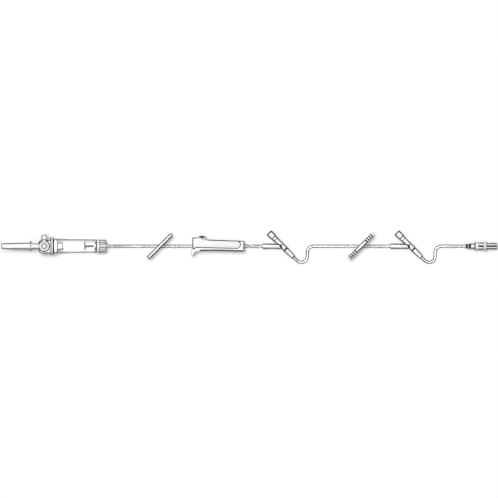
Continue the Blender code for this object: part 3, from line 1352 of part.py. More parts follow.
def infusion_set():
    """Every piece in its place, with the middle of the footprint at the origin."""
    clear = material("clear_tubing", (0.86, 0.88, 0.88), 0.18, alpha=0.45)
    chamber = material("clear_chamber", (0.88, 0.9, 0.9), 0.12, alpha=0.35)
    white = material("white_moulding", (0.88, 0.88, 0.86), 0.38)
    sheath = material("translucent_sheath", (0.9, 0.9, 0.9), 0.3, alpha=0.75)
    flap = material("grey_flap", (0.62, 0.64, 0.66), 0.42)
    membrane = material("white_membrane", (0.93, 0.93, 0.92), 0.8)
    filter_white = material("filter_moulding", (0.9, 0.9, 0.88), 0.45)
    filter_mesh = material("filter_mesh", (0.8, 0.82, 0.84), 0.7)
    clamp_white = material("clamp_moulding", (0.87, 0.87, 0.85), 0.42)
    roller_grey = material("roller_moulding", (0.14, 0.15, 0.16), 0.5)
    rubber = material("septum_rubber", (0.36, 0.36, 0.37), 0.75)
    ring = material("port_ring", (0.85, 0.85, 0.84), 0.35)
    soft = material("soft_sleeve", (0.45, 0.46, 0.47), 0.5)
    collar = material("collar_moulding", (0.82, 0.83, 0.83), 0.3)

    root = empty("infusion_set", location=-footprint_middle)

    chamber_axis = empty("chamber_axis", root, (0, 0, chamber_height), (0, chamber_tilt, 0))
    vented_spike(chamber_axis, white)
    vent_pieces(chamber_axis, white, membrane, flap)
    spike_cover(chamber_axis, sheath)
    drip_chamber(chamber_axis, chamber)
    outlet_cap(chamber_axis, white)
    chamber_filter(chamber_axis, filter_white, filter_mesh)

    turn = (0, 0, math.radians(CLAMP_ANGLE))
    plain = empty("slide_clamp_1_middle", root, (SLIDE_CLAMP_1_AT, 0, clamp_centre_height), turn)
    slide_clamp("slide_clamp_1", plain, CLAMP_1_LENGTH, CLAMP_1_THICKNESS, clamp_white)
    ribbed = empty("slide_clamp_2_middle", root, (SLIDE_CLAMP_2_AT, 0, clamp_centre_height), turn)
    slide_clamp("slide_clamp_2", ribbed, CLAMP_2_LENGTH, CLAMP_2_THICKNESS, clamp_white, CLAMP_2_RIBS)

    roller_frame = empty("roller_clamp_frame", root, (ROLLER_CLAMP_AT, 0, roller_centre_height))
    roller_clamp(roller_frame, clamp_white, roller_grey)

    for number in (1, 2):
        place = (Y_SITE_1_AT + (number - 1) * Y_SITE_PITCH, 0, y_site_height)
        lean = (0, 0, -math.radians(Y_SITE_ANGLE))
        junction = empty(f"y_site_{number}_junction", root, place, lean)
        y_site(number, junction, white, rubber, ring, soft)

    connector_axis = empty("connector_axis", root, (CONNECTOR_AT, 0, connector_height))
    connector(connector_axis, soft, white, collar, sheath)
    tubes(root, clear)


for leftover in list(bpy.data.objects):
    bpy.data.objects.remove(leftover, do_unlink=True)
infusion_set()
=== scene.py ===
"""Looks of a gravity infusion set that lies straight on a white table.

Lengths below are in millimetres. Each piece is worked out in a frame of its own and carried into the
row frame in metres: the chamber's axis, the clamps, the side ports and the connector each have one.
"""

import math

import bmesh
import bpy
import numpy as np
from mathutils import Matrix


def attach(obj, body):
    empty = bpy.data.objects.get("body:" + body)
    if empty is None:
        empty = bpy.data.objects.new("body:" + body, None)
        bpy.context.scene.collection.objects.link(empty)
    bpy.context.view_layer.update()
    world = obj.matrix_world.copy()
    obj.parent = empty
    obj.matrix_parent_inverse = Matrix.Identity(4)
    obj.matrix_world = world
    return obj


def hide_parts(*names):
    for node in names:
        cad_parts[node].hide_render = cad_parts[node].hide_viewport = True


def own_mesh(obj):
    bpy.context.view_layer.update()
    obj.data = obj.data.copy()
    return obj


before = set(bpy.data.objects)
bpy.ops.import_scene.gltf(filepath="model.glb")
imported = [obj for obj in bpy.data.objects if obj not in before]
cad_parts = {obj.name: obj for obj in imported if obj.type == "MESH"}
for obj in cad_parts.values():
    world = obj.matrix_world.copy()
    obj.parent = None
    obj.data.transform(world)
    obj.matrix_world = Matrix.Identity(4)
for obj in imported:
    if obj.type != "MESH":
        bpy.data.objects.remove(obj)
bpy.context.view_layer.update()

MM = 0.001
FULL_TURN = 2 * math.pi
SMOOTH_SIDES = 96
SHARP_ANGLE = math.radians(38)

# Where the middle of the footprint lies, from the flange of the spike and the tube's own line
SET_MIDDLE = (278.105, 1.573)

# Tube
TUBE_RADIUS = 2.1
TUBE_BORE = 1.4
TUBE_SIDES = 40
TUBE_POINT_SPACING = 1.5

S_BEND = [
    (9.263, -9.263, 4.55), (12.587, -12.587, 4.55), (15.627, -15.627, 4.55), (17.9, -17.9, 4.15),
    (20.6, -20.4, 3.35), (24.0, -22.3, 2.6), (28.4, -22.2, 2.2), (32.2, -20.3, 2.2),
    (34.35, -16.6, 2.2), (34.7, -11.4, 2.2), (35.0, -6.3, 2.2), (37.2, -2.5, 2.2),
    (40.9, -0.35, 2.2), (45.6, 0.0, 2.2),
]
Y_SITES_AT = (325.1, 504.0)
TUBE_1_ROUTE = [
    (69.839, 0, 9.451), (74.535, 0, 9.256), (82.528, 0, 8.923), (98, 0, 4.462), (112, 0, 2.2),
    (126, 0, 2.75), (139.3, 0, 5.9), (153.3, 0, 7), (167.3, 0, 5.9), (184.8, 0, 5.9), (194.8, 0, 7),
    (202.9, 0, 7), (206.9, -0.405, 7), (210.9, -1.1475, 7), (214.9, -1.35, 7), (220.9, -1.35, 7),
    (251.2, -1.35, 7), (257.2, -1.35, 7), (261.2, -1.1475, 7), (265.2, -0.405, 7), (269.2, 0, 7),
    (278.6, 0, 6.45), (293.1, 0, 4.55), (301.1, 0, 4.55), (305.8, 0, 4.55),
]
TUBE_2_ROUTE = [(Y_SITES_AT[0] + x, y, z) for x, y, z in S_BEND] + [
    (379, 0, 2.2), (393, 0, 2.3), (407, 0, 3.3), (421, 0, 5.9), (435, 0, 7), (449, 0, 5.9),
    (472, 0, 4.55), (480, 0, 4.55), (484.7, 0, 4.55),
]
TUBE_3_ROUTE = [(Y_SITES_AT[1] + x, y, z) for x, y, z in S_BEND] + [
    (567.7, 0, 5.9), (577.7, 0, 7), (585.7, 0, 7), (592.55, 0, 7),
]


def placed(origin, along, up):
    """A 3 by 4 array: the X axis along, the Y axis up times along, the Z axis up, and the origin."""
    x_axis = np.array(along, float) / np.linalg.norm(along)
    z_axis = np.array(up, float) / np.linalg.norm(up)
    return np.column_stack([x_axis, np.cross(z_axis, x_axis), z_axis, np.array(origin, float)])


def on_table(at, height, along=(1, 0, 0), up=(0, 0, 1)):
    """A frame on the tube's line, a distance along it and a height above the table."""
    return placed(((at - SET_MIDDLE[0]) * MM, -SET_MIDDLE[1] * MM, height * MM), along, up)


def moved(where, shift):
    """The same axes, with the origin moved by a step in the frame's own millimetres."""
    there = where.copy()
    there[:, 3] += where[:, :3] @ np.array(shift, float) * MM
    return there


def carried(points, where):
    """Points in a frame's own millimetres, in the row frame in metres."""
    return points * MM @ where[:, :3].T + where[:, 3]


DIAGONAL = math.sqrt(0.5)
TILT = math.asin(3.1 / 74.5)
CHAMBER_FRAME = on_table(0, 12.36, (math.cos(TILT), 0, -math.sin(TILT)), (math.sin(TILT), 0, math.cos(TILT)))
CLAMP_FRAMES = {
    "slide_clamp_1": on_table(153.3, 7, (DIAGONAL, DIAGONAL, 0), (DIAGONAL, -DIAGONAL, 0)),
    "slide_clamp_2": on_table(435.0, 7, (DIAGONAL, DIAGONAL, 0), (DIAGONAL, -DIAGONAL, 0)),
}
ROLLER_FRAME = on_table(198.8, 7)
Y_SITE_FRAMES = [on_table(at, 4.55, (DIAGONAL, -DIAGONAL, 0)) for at in Y_SITES_AT]
CONNECTOR_FRAME = on_table(581.7, 7)


def rounded(corners, closed=False, steps=6):
    """A line through (a, b, radius) corners, each corner turned into an arc of its radius.

    Arc points are the two touching spokes mixed by sin((1-t)w)/sin(w) and sin(tw)/sin(w), w their angle.
    """
    corners = np.array(corners, float)
    count = len(corners)
    line = []
    for index, (*_, radius) in enumerate(corners):
        here = corners[index, :2]
        if radius <= 0 or (not closed and index in (0, count - 1)):
            line.append(here[None])
            continue
        before = corners[index - 1, :2] - here
        after = corners[(index + 1) % count, :2] - here
        before /= np.linalg.norm(before)
        after /= np.linalg.norm(after)
        half = math.acos(np.clip(before @ after, -1, 1)) / 2
        middle = (before + after) / np.linalg.norm(before + after)
        centre = here + middle * radius / math.sin(half)
        first = here + before * radius / math.tan(half) - centre
        last = here + after * radius / math.tan(half) - centre
        turn = math.pi - 2 * half
        share = np.linspace(0, 1, steps + 1)[:, None]
        spokes = np.sin((1 - share) * turn) * first + np.sin(share * turn) * last
        line.append(centre + spokes / math.sin(turn))
    return np.concatenate(line)


def arc(centre, radius, start, end, steps):
    """Points centre + radius (cos a, sin a), with a from start to end in degrees."""
    angles = np.radians(np.linspace(start, end, steps + 1))
    return np.column_stack([centre[0] + radius * np.cos(angles), centre[1] + radius * np.sin(angles)])


def rounded_rectangle(half_length, half_width, radius, steps):
    """A rectangle about the origin whose corners are arcs of the radius."""
    corners = [(-1, -1), (1, -1), (1, 1), (-1, 1)]
    return rounded([(x * half_length, y * half_width, radius) for x, y in corners], closed=True, steps=steps)


def shell(points, where, closed=False, along=None, groove=None, cut=0.0):
    """A closed surface as a grid of points in a frame's millimetres, with the values for the finishes.

    Rows run along the piece and columns round it; closed joins the last row to the first one. groove is the
    share of painted shade at each point, and cut is the groove share of painted shade that a cutter's faces leave in
    what they cut.
    """
    rows, columns = points.shape[:2]
    along = np.zeros((rows, columns)) if along is None else np.broadcast_to(along, (rows, columns))
    groove = np.zeros((rows, columns)) if groove is None else np.broadcast_to(groove, (rows, columns))
    values = {"along": along * MM, "groove": groove, "cut": cut}
    return {"points": carried(points, where), "closed": closed, **values}


def turned(profile, where, closed=False, sides=SMOOTH_SIDES, carve=None, cut=0.0):
    """A profile of (x, radius) rows turned about X: the point (x, r sin t, r cos t) for each turn t.

    carve gives how far each point is cut in, from x, r and t, and its groove share of painted shade, and cut
    is the groove share of painted shade of a cutter.
    """
    x, radius = profile[:, :1], profile[:, 1:2]
    turn = np.linspace(0, FULL_TURN, sides, endpoint=False)[None]
    depth, share = carve(x, radius, turn) if carve else (0.0, 0.0)
    radius = radius - depth + 0 * turn
    points = np.stack([x + 0 * turn, radius * np.sin(turn), radius * np.cos(turn)], axis=-1)
    return shell(points, where, closed, along=x, groove=share, cut=cut)


def slab(outline, levels, where, closed=False, groove=None, cut=0.0):
    """An outline in XY carried along Z.

    Row i is the outline moved inwards by levels[i][0], or outwards below 0, at the height levels[i][1].
    """
    after = np.roll(outline, -1, axis=0)
    if (outline[:, 0] * after[:, 1] - after[:, 0] * outline[:, 1]).sum() < 0:
        outline = outline[::-1]
    ahead = np.roll(outline, -1, axis=0) - outline
    ahead /= np.linalg.norm(ahead, axis=1, keepdims=True)
    behind = np.roll(ahead, 1, axis=0)
    inward = np.column_stack([-ahead[:, 1] - behind[:, 1], ahead[:, 0] + behind[:, 0]])
    inward /= np.maximum((inward * inward).sum(axis=1, keepdims=True), 1e-9) / 2
    inset, height = np.array(levels, float).T[:, :, None]
    flat = outline[None] + inset[..., None] * inward[None]
    lifted = np.broadcast_to(height, flat.shape[:2])
    return shell(np.dstack([flat, lifted[..., None]]), where, closed, groove=groove, cut=cut)


def soft_edged(low, high, edge, depth, steps=5):
    """Levels of a slab whose two rims are quarter ellipses, the edge wide and the depth tall."""
    angle = np.linspace(0, math.pi / 2, steps + 1)
    inset = edge * (1 - np.sin(angle))
    rise = depth * (1 - np.cos(angle))
    lower = np.column_stack([inset, low + rise])
    return np.concatenate([lower, np.column_stack([inset, high - rise])[::-1]])


def quads(rows, columns, closed, start):
    """Corner numbers of the faces between neighbouring rows and columns of a grid, as whole arrays."""
    row = np.arange(rows if closed else rows - 1)[:, None]
    column = np.arange(columns)[None]
    here, across = row * columns, (row + 1) % rows * columns
    beside = (column + 1) % columns
    faces = np.stack([here + column, across + column, across + beside, here + beside], axis=-1)
    return faces.reshape(-1, 4) + start


def mesh_of(name, shells):
    """One mesh of closed shells: quads between rows, and a flat face on each end that isn't a pole."""
    faces, cuts, start = [], [], 0
    for part in shells:
        rows, columns = part["points"].shape[:2]
        faces += quads(rows, columns, part["closed"], start).tolist()
        for row in () if part["closed"] else (0, rows - 1):
            if np.ptp(part["points"][row], axis=0).max() > 1e-7:
                faces.append((np.arange(columns) + start + row * columns).tolist())
        cuts += [part["cut"]] * (len(faces) - len(cuts))
        start += rows * columns
    mesh = bpy.data.meshes.new(name)
    mesh.from_pydata(np.concatenate([part["points"].reshape(-1, 3) for part in shells]), [], faces)
    # along is the distance along the piece, and groove and cut are shares of painted shade.
    for value in ("along", "groove"):
        numbers = np.concatenate([part[value].reshape(-1) for part in shells]).astype(np.float32)
        mesh.attributes.new(value, "FLOAT", "POINT").data.foreach_set("value", numbers)
    mesh.attributes.new("cut", "FLOAT", "FACE").data.foreach_set("value", np.array(cuts, np.float32))
    work = bmesh.new()
    work.from_mesh(mesh)
    bmesh.ops.remove_doubles(work, verts=work.verts, dist=2e-7)
    bmesh.ops.dissolve_degenerate(work, edges=work.edges, dist=1e-8)
    bmesh.ops.recalc_face_normals(work, faces=work.faces)
    work.to_mesh(mesh)
    work.free()
    return mesh


def made(name, shells):
    """A new object of these shells, at the origin."""
    piece = bpy.data.objects.new(name, mesh_of(name, shells))
    bpy.context.scene.collection.objects.link(piece)
    return piece


def worked(piece):
    """The piece with its modifiers worked into its mesh."""
    graph = bpy.context.evaluated_depsgraph_get()
    mesh = bpy.data.meshes.new_from_object(piece.evaluated_get(graph))
    piece.modifiers.clear()
    piece.data = mesh
    return piece


def moved_mesh(mesh, change):
    """The mesh with its points given by the change, as one array."""
    points = np.empty(len(mesh.vertices) * 3, np.float32)
    mesh.vertices.foreach_get("co", points)
    mesh.vertices.foreach_set("co", change(points.reshape(-1, 3)).astype(np.float32).reshape(-1))
    mesh.update()


def merged(piece, tools, operation, where):
    """The piece with each tool cut from it, joined to it or kept of it; the tools are removed.

    The work is done in the frame's own millimetres, rounded to 0.001, where flat faces are quite flat.
    """
    for thing in (piece, *tools):
        moved_mesh(thing.data, lambda points: np.round((points - where[:, 3]) @ where[:, :3] / MM, 3))
    for tool in tools:
        boolean = piece.modifiers.new(tool.name, "BOOLEAN")
        boolean.operation = operation
        boolean.solver = "MANIFOLD"
        boolean.object = tool
        worked(piece)
        bpy.data.objects.remove(tool)
    moved_mesh(piece.data, lambda points: carried(points, where))
    return piece


def joined(piece, other):
    """The piece with another's shells added to its mesh as they are."""
    work = bmesh.new()
    work.from_mesh(piece.data)
    work.from_mesh(other.data)
    work.to_mesh(piece.data)
    work.free()
    bpy.data.objects.remove(other)
    return piece


def eased(piece, width):
    """The piece with its sharp edges rounded by a bevel of this width."""
    bevel = piece.modifiers.new("eased_edges", "BEVEL")
    bevel.width = width * MM
    bevel.segments = 2
    bevel.limit_method = "ANGLE"
    bevel.angle_limit = SHARP_ANGLE
    bevel.use_clamp_overlap = True
    return worked(piece)


def shown(piece, finish, body, slot, *nodes):
    """The piece with its finish, riding on a body and standing for CAD nodes."""
    piece.data.materials.clear()
    piece.data.materials.append(finish)
    piece.data.shade_smooth()
    piece.data.set_sharp_from_angle(angle=SHARP_ANGLE)
    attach(piece, body)
    if nodes:
        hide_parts(*nodes)
    return piece


def turned_piece(name, profile, where, finish, body, slot, *nodes, **how):
    """A profile turned about X as a piece of its own, shown with its finish."""
    return shown(made(name, [turned(profile, where, **how)]), finish, body, slot, *nodes)


# Shared effects


def new_group(name, inputs, outputs):
    """A shader node group with its named sockets, each given as (name, kind, start value)."""
    tree = bpy.data.node_groups.new(name, "ShaderNodeTree")
    for label, kind, value in inputs:
        socket = tree.interface.new_socket(label, in_out="INPUT", socket_type=f"NodeSocket{kind}")
        if value is not None:
            socket.default_value = value
    for label, kind in outputs:
        tree.interface.new_socket(label, in_out="OUTPUT", socket_type=f"NodeSocket{kind}")
    return tree, tree.nodes.new("NodeGroupInput"), tree.nodes.new("NodeGroupOutput")


def math_node(tree, operation, first, second=None, third=None, clamp=False):
    """A Math node whose inputs are sockets or numbers; gives its output."""
    node = tree.nodes.new("ShaderNodeMath")
    node.operation = operation
    node.use_clamp = clamp
    for socket, value in zip(node.inputs, (first, second, third)):
        if isinstance(value, bpy.types.NodeSocket):
            tree.links.new(value, socket)
        elif value is not None:
            socket.default_value = value
    return node.outputs[0]


def mixed_colour(tree, share, first, second, kind="MIX"):
    """A Mix node between two colours, given as sockets or as values; gives its output."""
    node = tree.nodes.new("ShaderNodeMix")
    node.data_type = "RGBA"
    node.blend_type = kind
    for socket, value in ((node.inputs[0], share), (node.inputs[6], first), (node.inputs[7], second)):
        if isinstance(value, bpy.types.NodeSocket):
            tree.links.new(value, socket)
        elif isinstance(value, tuple):
            socket.default_value = (*value, 1.0)
        else:
            socket.default_value = value
    return node.outputs[2]


def noise(tree, vector, scale, detail=3.0, roughness=0.5):
    """A Noise texture's value at a scale, in turns per metre."""
    node = tree.nodes.new("ShaderNodeTexNoise")
    node.inputs["Detail"].default_value = detail
    node.inputs["Roughness"].default_value = roughness
    tree.links.new(vector, node.inputs["Vector"])
    if isinstance(scale, bpy.types.NodeSocket):
        tree.links.new(scale, node.inputs["Scale"])
    else:
        node.inputs["Scale"].default_value = scale
    return node.outputs["Fac"]


def moulded_grain():
    """Moulded plastic: a slow drift between two colours, a spread of gloss, and a fine spark-eroded grain."""
    tree, given, out = new_group(
        "Moulded grain",
        [
            ("Vector", "Vector", None),
            ("Colour", "Color", (0.8, 0.8, 0.8, 1)),
            ("Shade", "Color", (0.7, 0.7, 0.7, 1)),
            ("Grain Scale", "Float", 2600.0),
            ("Drift Scale", "Float", 60.0),
            ("Gloss", "Float", 0.4),
            ("Gloss Spread", "Float", 0.1),
        ],
        [("Colour", "Color"), ("Roughness", "Float"), ("Height", "Float")],
    )
    drift = noise(tree, given.outputs["Vector"], given.outputs["Drift Scale"], 2.0)
    fine = noise(tree, given.outputs["Vector"], given.outputs["Grain Scale"], 4.0, 0.6)
    share = math_node(tree, "MULTIPLY_ADD", drift, 2.2, -0.6, clamp=True)
    colour = mixed_colour(tree, share, given.outputs["Colour"], given.outputs["Shade"])
    sway = math_node(tree, "MULTIPLY", math_node(tree, "SUBTRACT", drift, 0.5), given.outputs["Gloss Spread"])
    fleck = math_node(tree, "MULTIPLY", math_node(tree, "SUBTRACT", fine, 0.5), given.outputs["Gloss Spread"])
    rough = math_node(tree, "ADD", math_node(tree, "ADD", given.outputs["Gloss"], sway), fleck, clamp=True)
    tree.links.new(colour, out.inputs["Colour"])
    tree.links.new(rough, out.inputs["Roughness"])
    tree.links.new(fine, out.inputs["Height"])
    return tree


def painted_groove_shade():
    """Painted shade in grooves: the deep colour takes over by the groove's share, so grooves read darker than the
    ridges between them.
    """
    tree, given, out = new_group(
        "Groove shade",
        [
            ("Colour", "Color", (1, 1, 1, 1)),
            ("Deep Colour", "Color", (0.1, 0.1, 0.1, 1)),
            ("Groove", "Float", 0.0),
        ],
        [("Colour", "Color")],
    )
    share = math_node(tree, "SMOOTH_MAX", given.outputs["Groove"], 0.0, 0.05, clamp=True)
    colour = mixed_colour(tree, share, given.outputs["Colour"], given.outputs["Deep Colour"])
    tree.links.new(colour, out.inputs["Colour"])
    return tree


def band_mask():
    """1 between two distances along a piece and 0 outside them, over a soft step."""
    tree, given, out = new_group(
        "Band mask",
        [
            ("Along", "Float", 0.0), ("Start", "Float", 0.0), ("End", "Float", 0.001),
            ("Step", "Float", 0.0001),
        ],
        [("Mask", "Float")],
    )
    along, start, end, step = (given.outputs[label] for label in ("Along", "Start", "End", "Step"))
    into = math_node(tree, "DIVIDE", math_node(tree, "SUBTRACT", along, start), step, clamp=True)
    left = math_node(tree, "DIVIDE", math_node(tree, "SUBTRACT", end, along), step, clamp=True)
    tree.links.new(math_node(tree, "MULTIPLY", into, left), out.inputs["Mask"])
    return tree


# Roughness in grooves and rings, and the step at a ring's edge
MATT = 0.9
BAND_STEP = 0.15
# The painted rim shade keeps to a clear wall's shoulders: how far short of the crest, and the last of the slope to
# the side
RIM_OFF_CREST = 0.1
RIM_SIDE_SLOPE = (0.03, 0.09)
# The share of the lamp's light that a clear wall lets through, squarely and edge on
LIGHT_THROUGH = (0.95, 0.05)
BUMP_DEPTH = 0.05
GRAIN = moulded_grain()
PAINTED_GROOVE_SHADE = painted_groove_shade()
BAND = band_mask()


def placed_group(tree, group, **values):
    """A group in a material, its inputs set from sockets or values; underscores stand for spaces."""
    node = tree.nodes.new("ShaderNodeGroup")
    node.node_tree = group
    for label, value in values.items():
        socket = node.inputs[label.replace("_", " ")]
        if isinstance(value, bpy.types.NodeSocket):
            tree.links.new(value, socket)
        else:
            socket.default_value = (*value, 1.0) if isinstance(value, tuple) else value
    return node


def attribute(tree, name):
    """The value that the mesh carries under this name."""
    node = tree.nodes.new("ShaderNodeAttribute")
    node.attribute_name = name
    return node.outputs["Fac"]


def plastic(name, colour, shade, gloss, spread=0.1, grain=2600.0, bump=0.06, groove=None, shade_bands=(),
            clear=0.0, ior=1.46, rim=None, rim_from=0.2, rim_to=0.6, flanks_only=False):
    """A plastic or rubber finish.

    groove is the painted shade colour in carved grooves and marked edges, and bands are (start, end, colour) rings
    of painted shade at edges and where parts meet. Clear plastic takes its rim colour, a painted shade, on its
    shoulders where the wall is seen edge on, and the lamp's light passes where it falls in squarely; flanks_only
    keeps the painted rim to the points whose flank value is 1. Grooves and rings are matt.
    """
    finish = bpy.data.materials.new(name)
    finish.use_nodes = True
    tree = finish.node_tree
    shader = tree.nodes["Principled BSDF"]
    place = tree.nodes.new("ShaderNodeTexCoord").outputs["Object"]
    base = placed_group(
        tree, GRAIN, Vector=place, Colour=colour, Shade=shade, Grain_Scale=grain, Gloss=gloss,
        Gloss_Spread=spread,
    )
    surface = base.outputs["Colour"]
    rough = base.outputs["Roughness"]
    # Painted shade: carved grooves, slots and marked edges take the dark groove colour by their groove and cut
    # shares, and turn matt.
    if groove:
        share = math_node(tree, "MAXIMUM", attribute(tree, "groove"), attribute(tree, "cut"))
        surface = placed_group(tree, PAINTED_GROOVE_SHADE, Colour=surface, Deep_Colour=groove, Groove=share).outputs[0]
        rough = math_node(tree, "MAXIMUM", rough, math_node(tree, "MULTIPLY", share, MATT))
    # Painted shade: dark rings along the piece at its edges and where parts meet.
    for start, end, ring in shade_bands:
        along = attribute(tree, "along")
        band = placed_group(tree, BAND, Along=along, Start=start * MM, End=end * MM, Step=BAND_STEP * MM)
        surface = mixed_colour(tree, band.outputs[0], surface, ring)
        rough = math_node(tree, "MAXIMUM", rough, math_node(tree, "MULTIPLY", band.outputs[0], MATT))
    # Painted shade: a dark rim on a clear wall's shoulders, where it is seen edge on, standing in for the dark edges
    # that refraction gives.
    if rim:
        facing = tree.nodes.new("ShaderNodeLayerWeight").outputs["Facing"]
        turned_away = math_node(tree, "SUBTRACT", facing, rim_from)
        share = math_node(tree, "DIVIDE", turned_away, rim_to - rim_from, clamp=True)
        normal = tree.nodes.new("ShaderNodeSeparateXYZ")
        tree.links.new(tree.nodes.new("ShaderNodeTexCoord").outputs["Normal"], normal.inputs[0])
        upward = math_node(tree, "ABSOLUTE", normal.outputs["Z"])
        off_crest = math_node(tree, "SUBTRACT", 1.0 + RIM_OFF_CREST - rim_from, upward)
        off_crest = math_node(tree, "DIVIDE", off_crest, rim_to - rim_from, clamp=True)
        share = math_node(tree, "MULTIPLY", share, off_crest)
        off_side = math_node(tree, "SUBTRACT", upward, RIM_SIDE_SLOPE[0])
        off_side = math_node(tree, "DIVIDE", off_side, RIM_SIDE_SLOPE[1] - RIM_SIDE_SLOPE[0], clamp=True)
        share = math_node(tree, "MULTIPLY", share, off_side)
        if flanks_only:
            share = math_node(tree, "MULTIPLY", share, attribute(tree, "flank"))
        surface = mixed_colour(tree, share, surface, rim)
        squarely, edge_on = LIGHT_THROUGH
        let_through = math_node(tree, "MULTIPLY_ADD", share, edge_on - squarely, squarely)
        shadow_ray = tree.nodes.new("ShaderNodeLightPath").outputs["Is Shadow Ray"]
        shadow = math_node(tree, "MULTIPLY", shadow_ray, let_through)
        tree.links.new(math_node(tree, "SUBTRACT", 1.0, shadow), shader.inputs["Alpha"])
    tree.links.new(surface, shader.inputs["Base Color"])
    tree.links.new(rough, shader.inputs["Roughness"])
    raised = tree.nodes.new("ShaderNodeBump")
    raised.inputs["Strength"].default_value = bump
    raised.inputs["Distance"].default_value = BUMP_DEPTH * MM
    tree.links.new(base.outputs["Height"], raised.inputs["Height"])
    tree.links.new(raised.outputs["Normal"], shader.inputs["Normal"])
    shader.inputs["Transmission Weight"].default_value = clear
    shader.inputs["IOR"].default_value = ior
    return finish


# In the finishes below, rim colours are painted shade on clear walls' shoulders, and groove colours are painted
# shade in grooves, slots and marked edges.
TUBE_WALL = {"clear": 1.0, "ior": 1.3, "rim": (0.012, 0.013, 0.014)}
PORT_WALL = {"ior": 1.35, "rim": (0.01, 0.011, 0.012), "rim_from": 0.16, "rim_to": 0.3}
GREY_WHITE = ((0.84, 0.84, 0.83), (0.8, 0.805, 0.8))

CLEAR_TUBING = plastic(
    "clear_tubing", (0.97, 0.98, 0.98), (0.94, 0.96, 0.96), 0.05, 0.04, 900.0, 0.03,
    rim_from=0.09, rim_to=0.15, flanks_only=True, **TUBE_WALL,
)
# Painted shade rings at the chamber's mouth and on its floor.
CLEAR_CHAMBER = plastic(
    "clear_chamber", (0.985, 0.99, 0.99), (0.97, 0.98, 0.98), 0.03, 0.03, 500.0, 0.015,
    shade_bands=[(4.0, 5.4, (0.01, 0.01, 0.011)), (63.3, 64.9, (0.05, 0.052, 0.055))],
    rim_from=0.42, rim_to=0.6, **TUBE_WALL,
)
CLEAR_PORT = plastic(
    "clear_port", (0.97, 0.97, 0.97), (0.95, 0.96, 0.96), 0.12, 0.06, 1200.0, 0.03,
    groove=(0.02, 0.02, 0.02), clear=0.4, **PORT_WALL,
)
LUER_PORT = plastic(
    "luer_port", (0.92, 0.925, 0.925), (0.88, 0.89, 0.89), 0.15, 0.06, 1200.0, 0.03, clear=0.4, **PORT_WALL,
)
# A painted shade ring at the sheath's pull rim.
SHEATH = plastic(
    "milky_sheath", (0.94, 0.94, 0.94), (0.9, 0.91, 0.91), 0.2, 0.1,
    shade_bands=[(-28.6, -27.7, (0.03, 0.03, 0.03))],
    clear=0.5, ior=1.3, rim=PORT_WALL["rim"], rim_from=0.22, rim_to=0.42,
)
HUB_MOULDING = plastic("hub_moulding", *GREY_WHITE, 0.36, 0.12, groove=(0.012, 0.012, 0.012))
OUTLET_MOULDING = plastic("outlet_moulding", *GREY_WHITE, 0.36, 0.12, groove=(0.012, 0.012, 0.012))
FLAP_MOULDING = plastic(
    "flap_moulding", (0.8, 0.81, 0.82), (0.76, 0.77, 0.78), 0.42, 0.12, groove=(0.012, 0.012, 0.012),
)
MEMBRANE = plastic("vent_membrane", (0.9, 0.9, 0.89), (0.84, 0.84, 0.83), 0.85, 0.1, 5200.0, 0.5)
FILTER_MOULDING = plastic("filter_moulding", (0.08, 0.085, 0.09), (0.06, 0.065, 0.07), 0.4, 0.1)
CLAMP_MOULDING = plastic(
    "clamp_moulding", (0.84, 0.84, 0.84), (0.8, 0.805, 0.81), 0.4, 0.14, groove=(0.015, 0.015, 0.016),
)
ROLLER_MOULDING = plastic(
    "roller_moulding", (0.03, 0.032, 0.035), (0.022, 0.024, 0.026), 0.46, 0.14, groove=(0.01, 0.01, 0.011),
)
SEPTUM_RUBBER = plastic("septum_rubber", (0.17, 0.17, 0.175), (0.13, 0.13, 0.135), 0.75, 0.12, 3600.0, 0.25)
# Painted shade rings at the cap's outer face and where the ring meets the barrel.
CRIMPED_RING = plastic(
    "crimped_ring", (0.94, 0.94, 0.94), (0.9, 0.91, 0.91), 0.25, 0.1,
    shade_bands=[(-27.2, -25.3, (0.008, 0.008, 0.008)), (-18.2, -17.3, (0.03, 0.03, 0.03))],
    clear=0.3, **PORT_WALL,
)
# Painted shade rings where the sleeve meets the barrel and at its far end.
OUTLET_SLEEVE = plastic(
    "outlet_sleeve", (0.94, 0.945, 0.95), (0.9, 0.91, 0.915), 0.3, 0.12, 3000.0, 0.12,
    shade_bands=[(6.0, 7.6, (0.008, 0.008, 0.008)), (20.7, 22.0, (0.02, 0.02, 0.02))],
    clear=0.3, **PORT_WALL,
)
# Painted shade rings at both ends of the adaptor.
ADAPTOR_RUBBER = plastic(
    "adaptor_rubber", (0.3, 0.31, 0.32), (0.24, 0.25, 0.26), 0.5, 0.12, 3000.0, 0.12,
    shade_bands=[(-0.1, 2.4, (0.012, 0.012, 0.013)), (4.6, 7.1, (0.008, 0.008, 0.008))],
)
# A painted shade ring on the collar's flange, and painted shade in its grooves.
COLLAR_MOULDING = plastic(
    "collar_moulding", (0.84, 0.84, 0.84), (0.8, 0.805, 0.805), 0.28, 0.1,
    groove=(0.01, 0.01, 0.011), shade_bands=[(12.3, 13.75, (0.01, 0.01, 0.011))],
)
COVER_MOULDING = plastic(
    "cover_moulding", (0.83, 0.835, 0.835), (0.79, 0.795, 0.795), 0.3, 0.1, groove=(0.01, 0.01, 0.011),
)


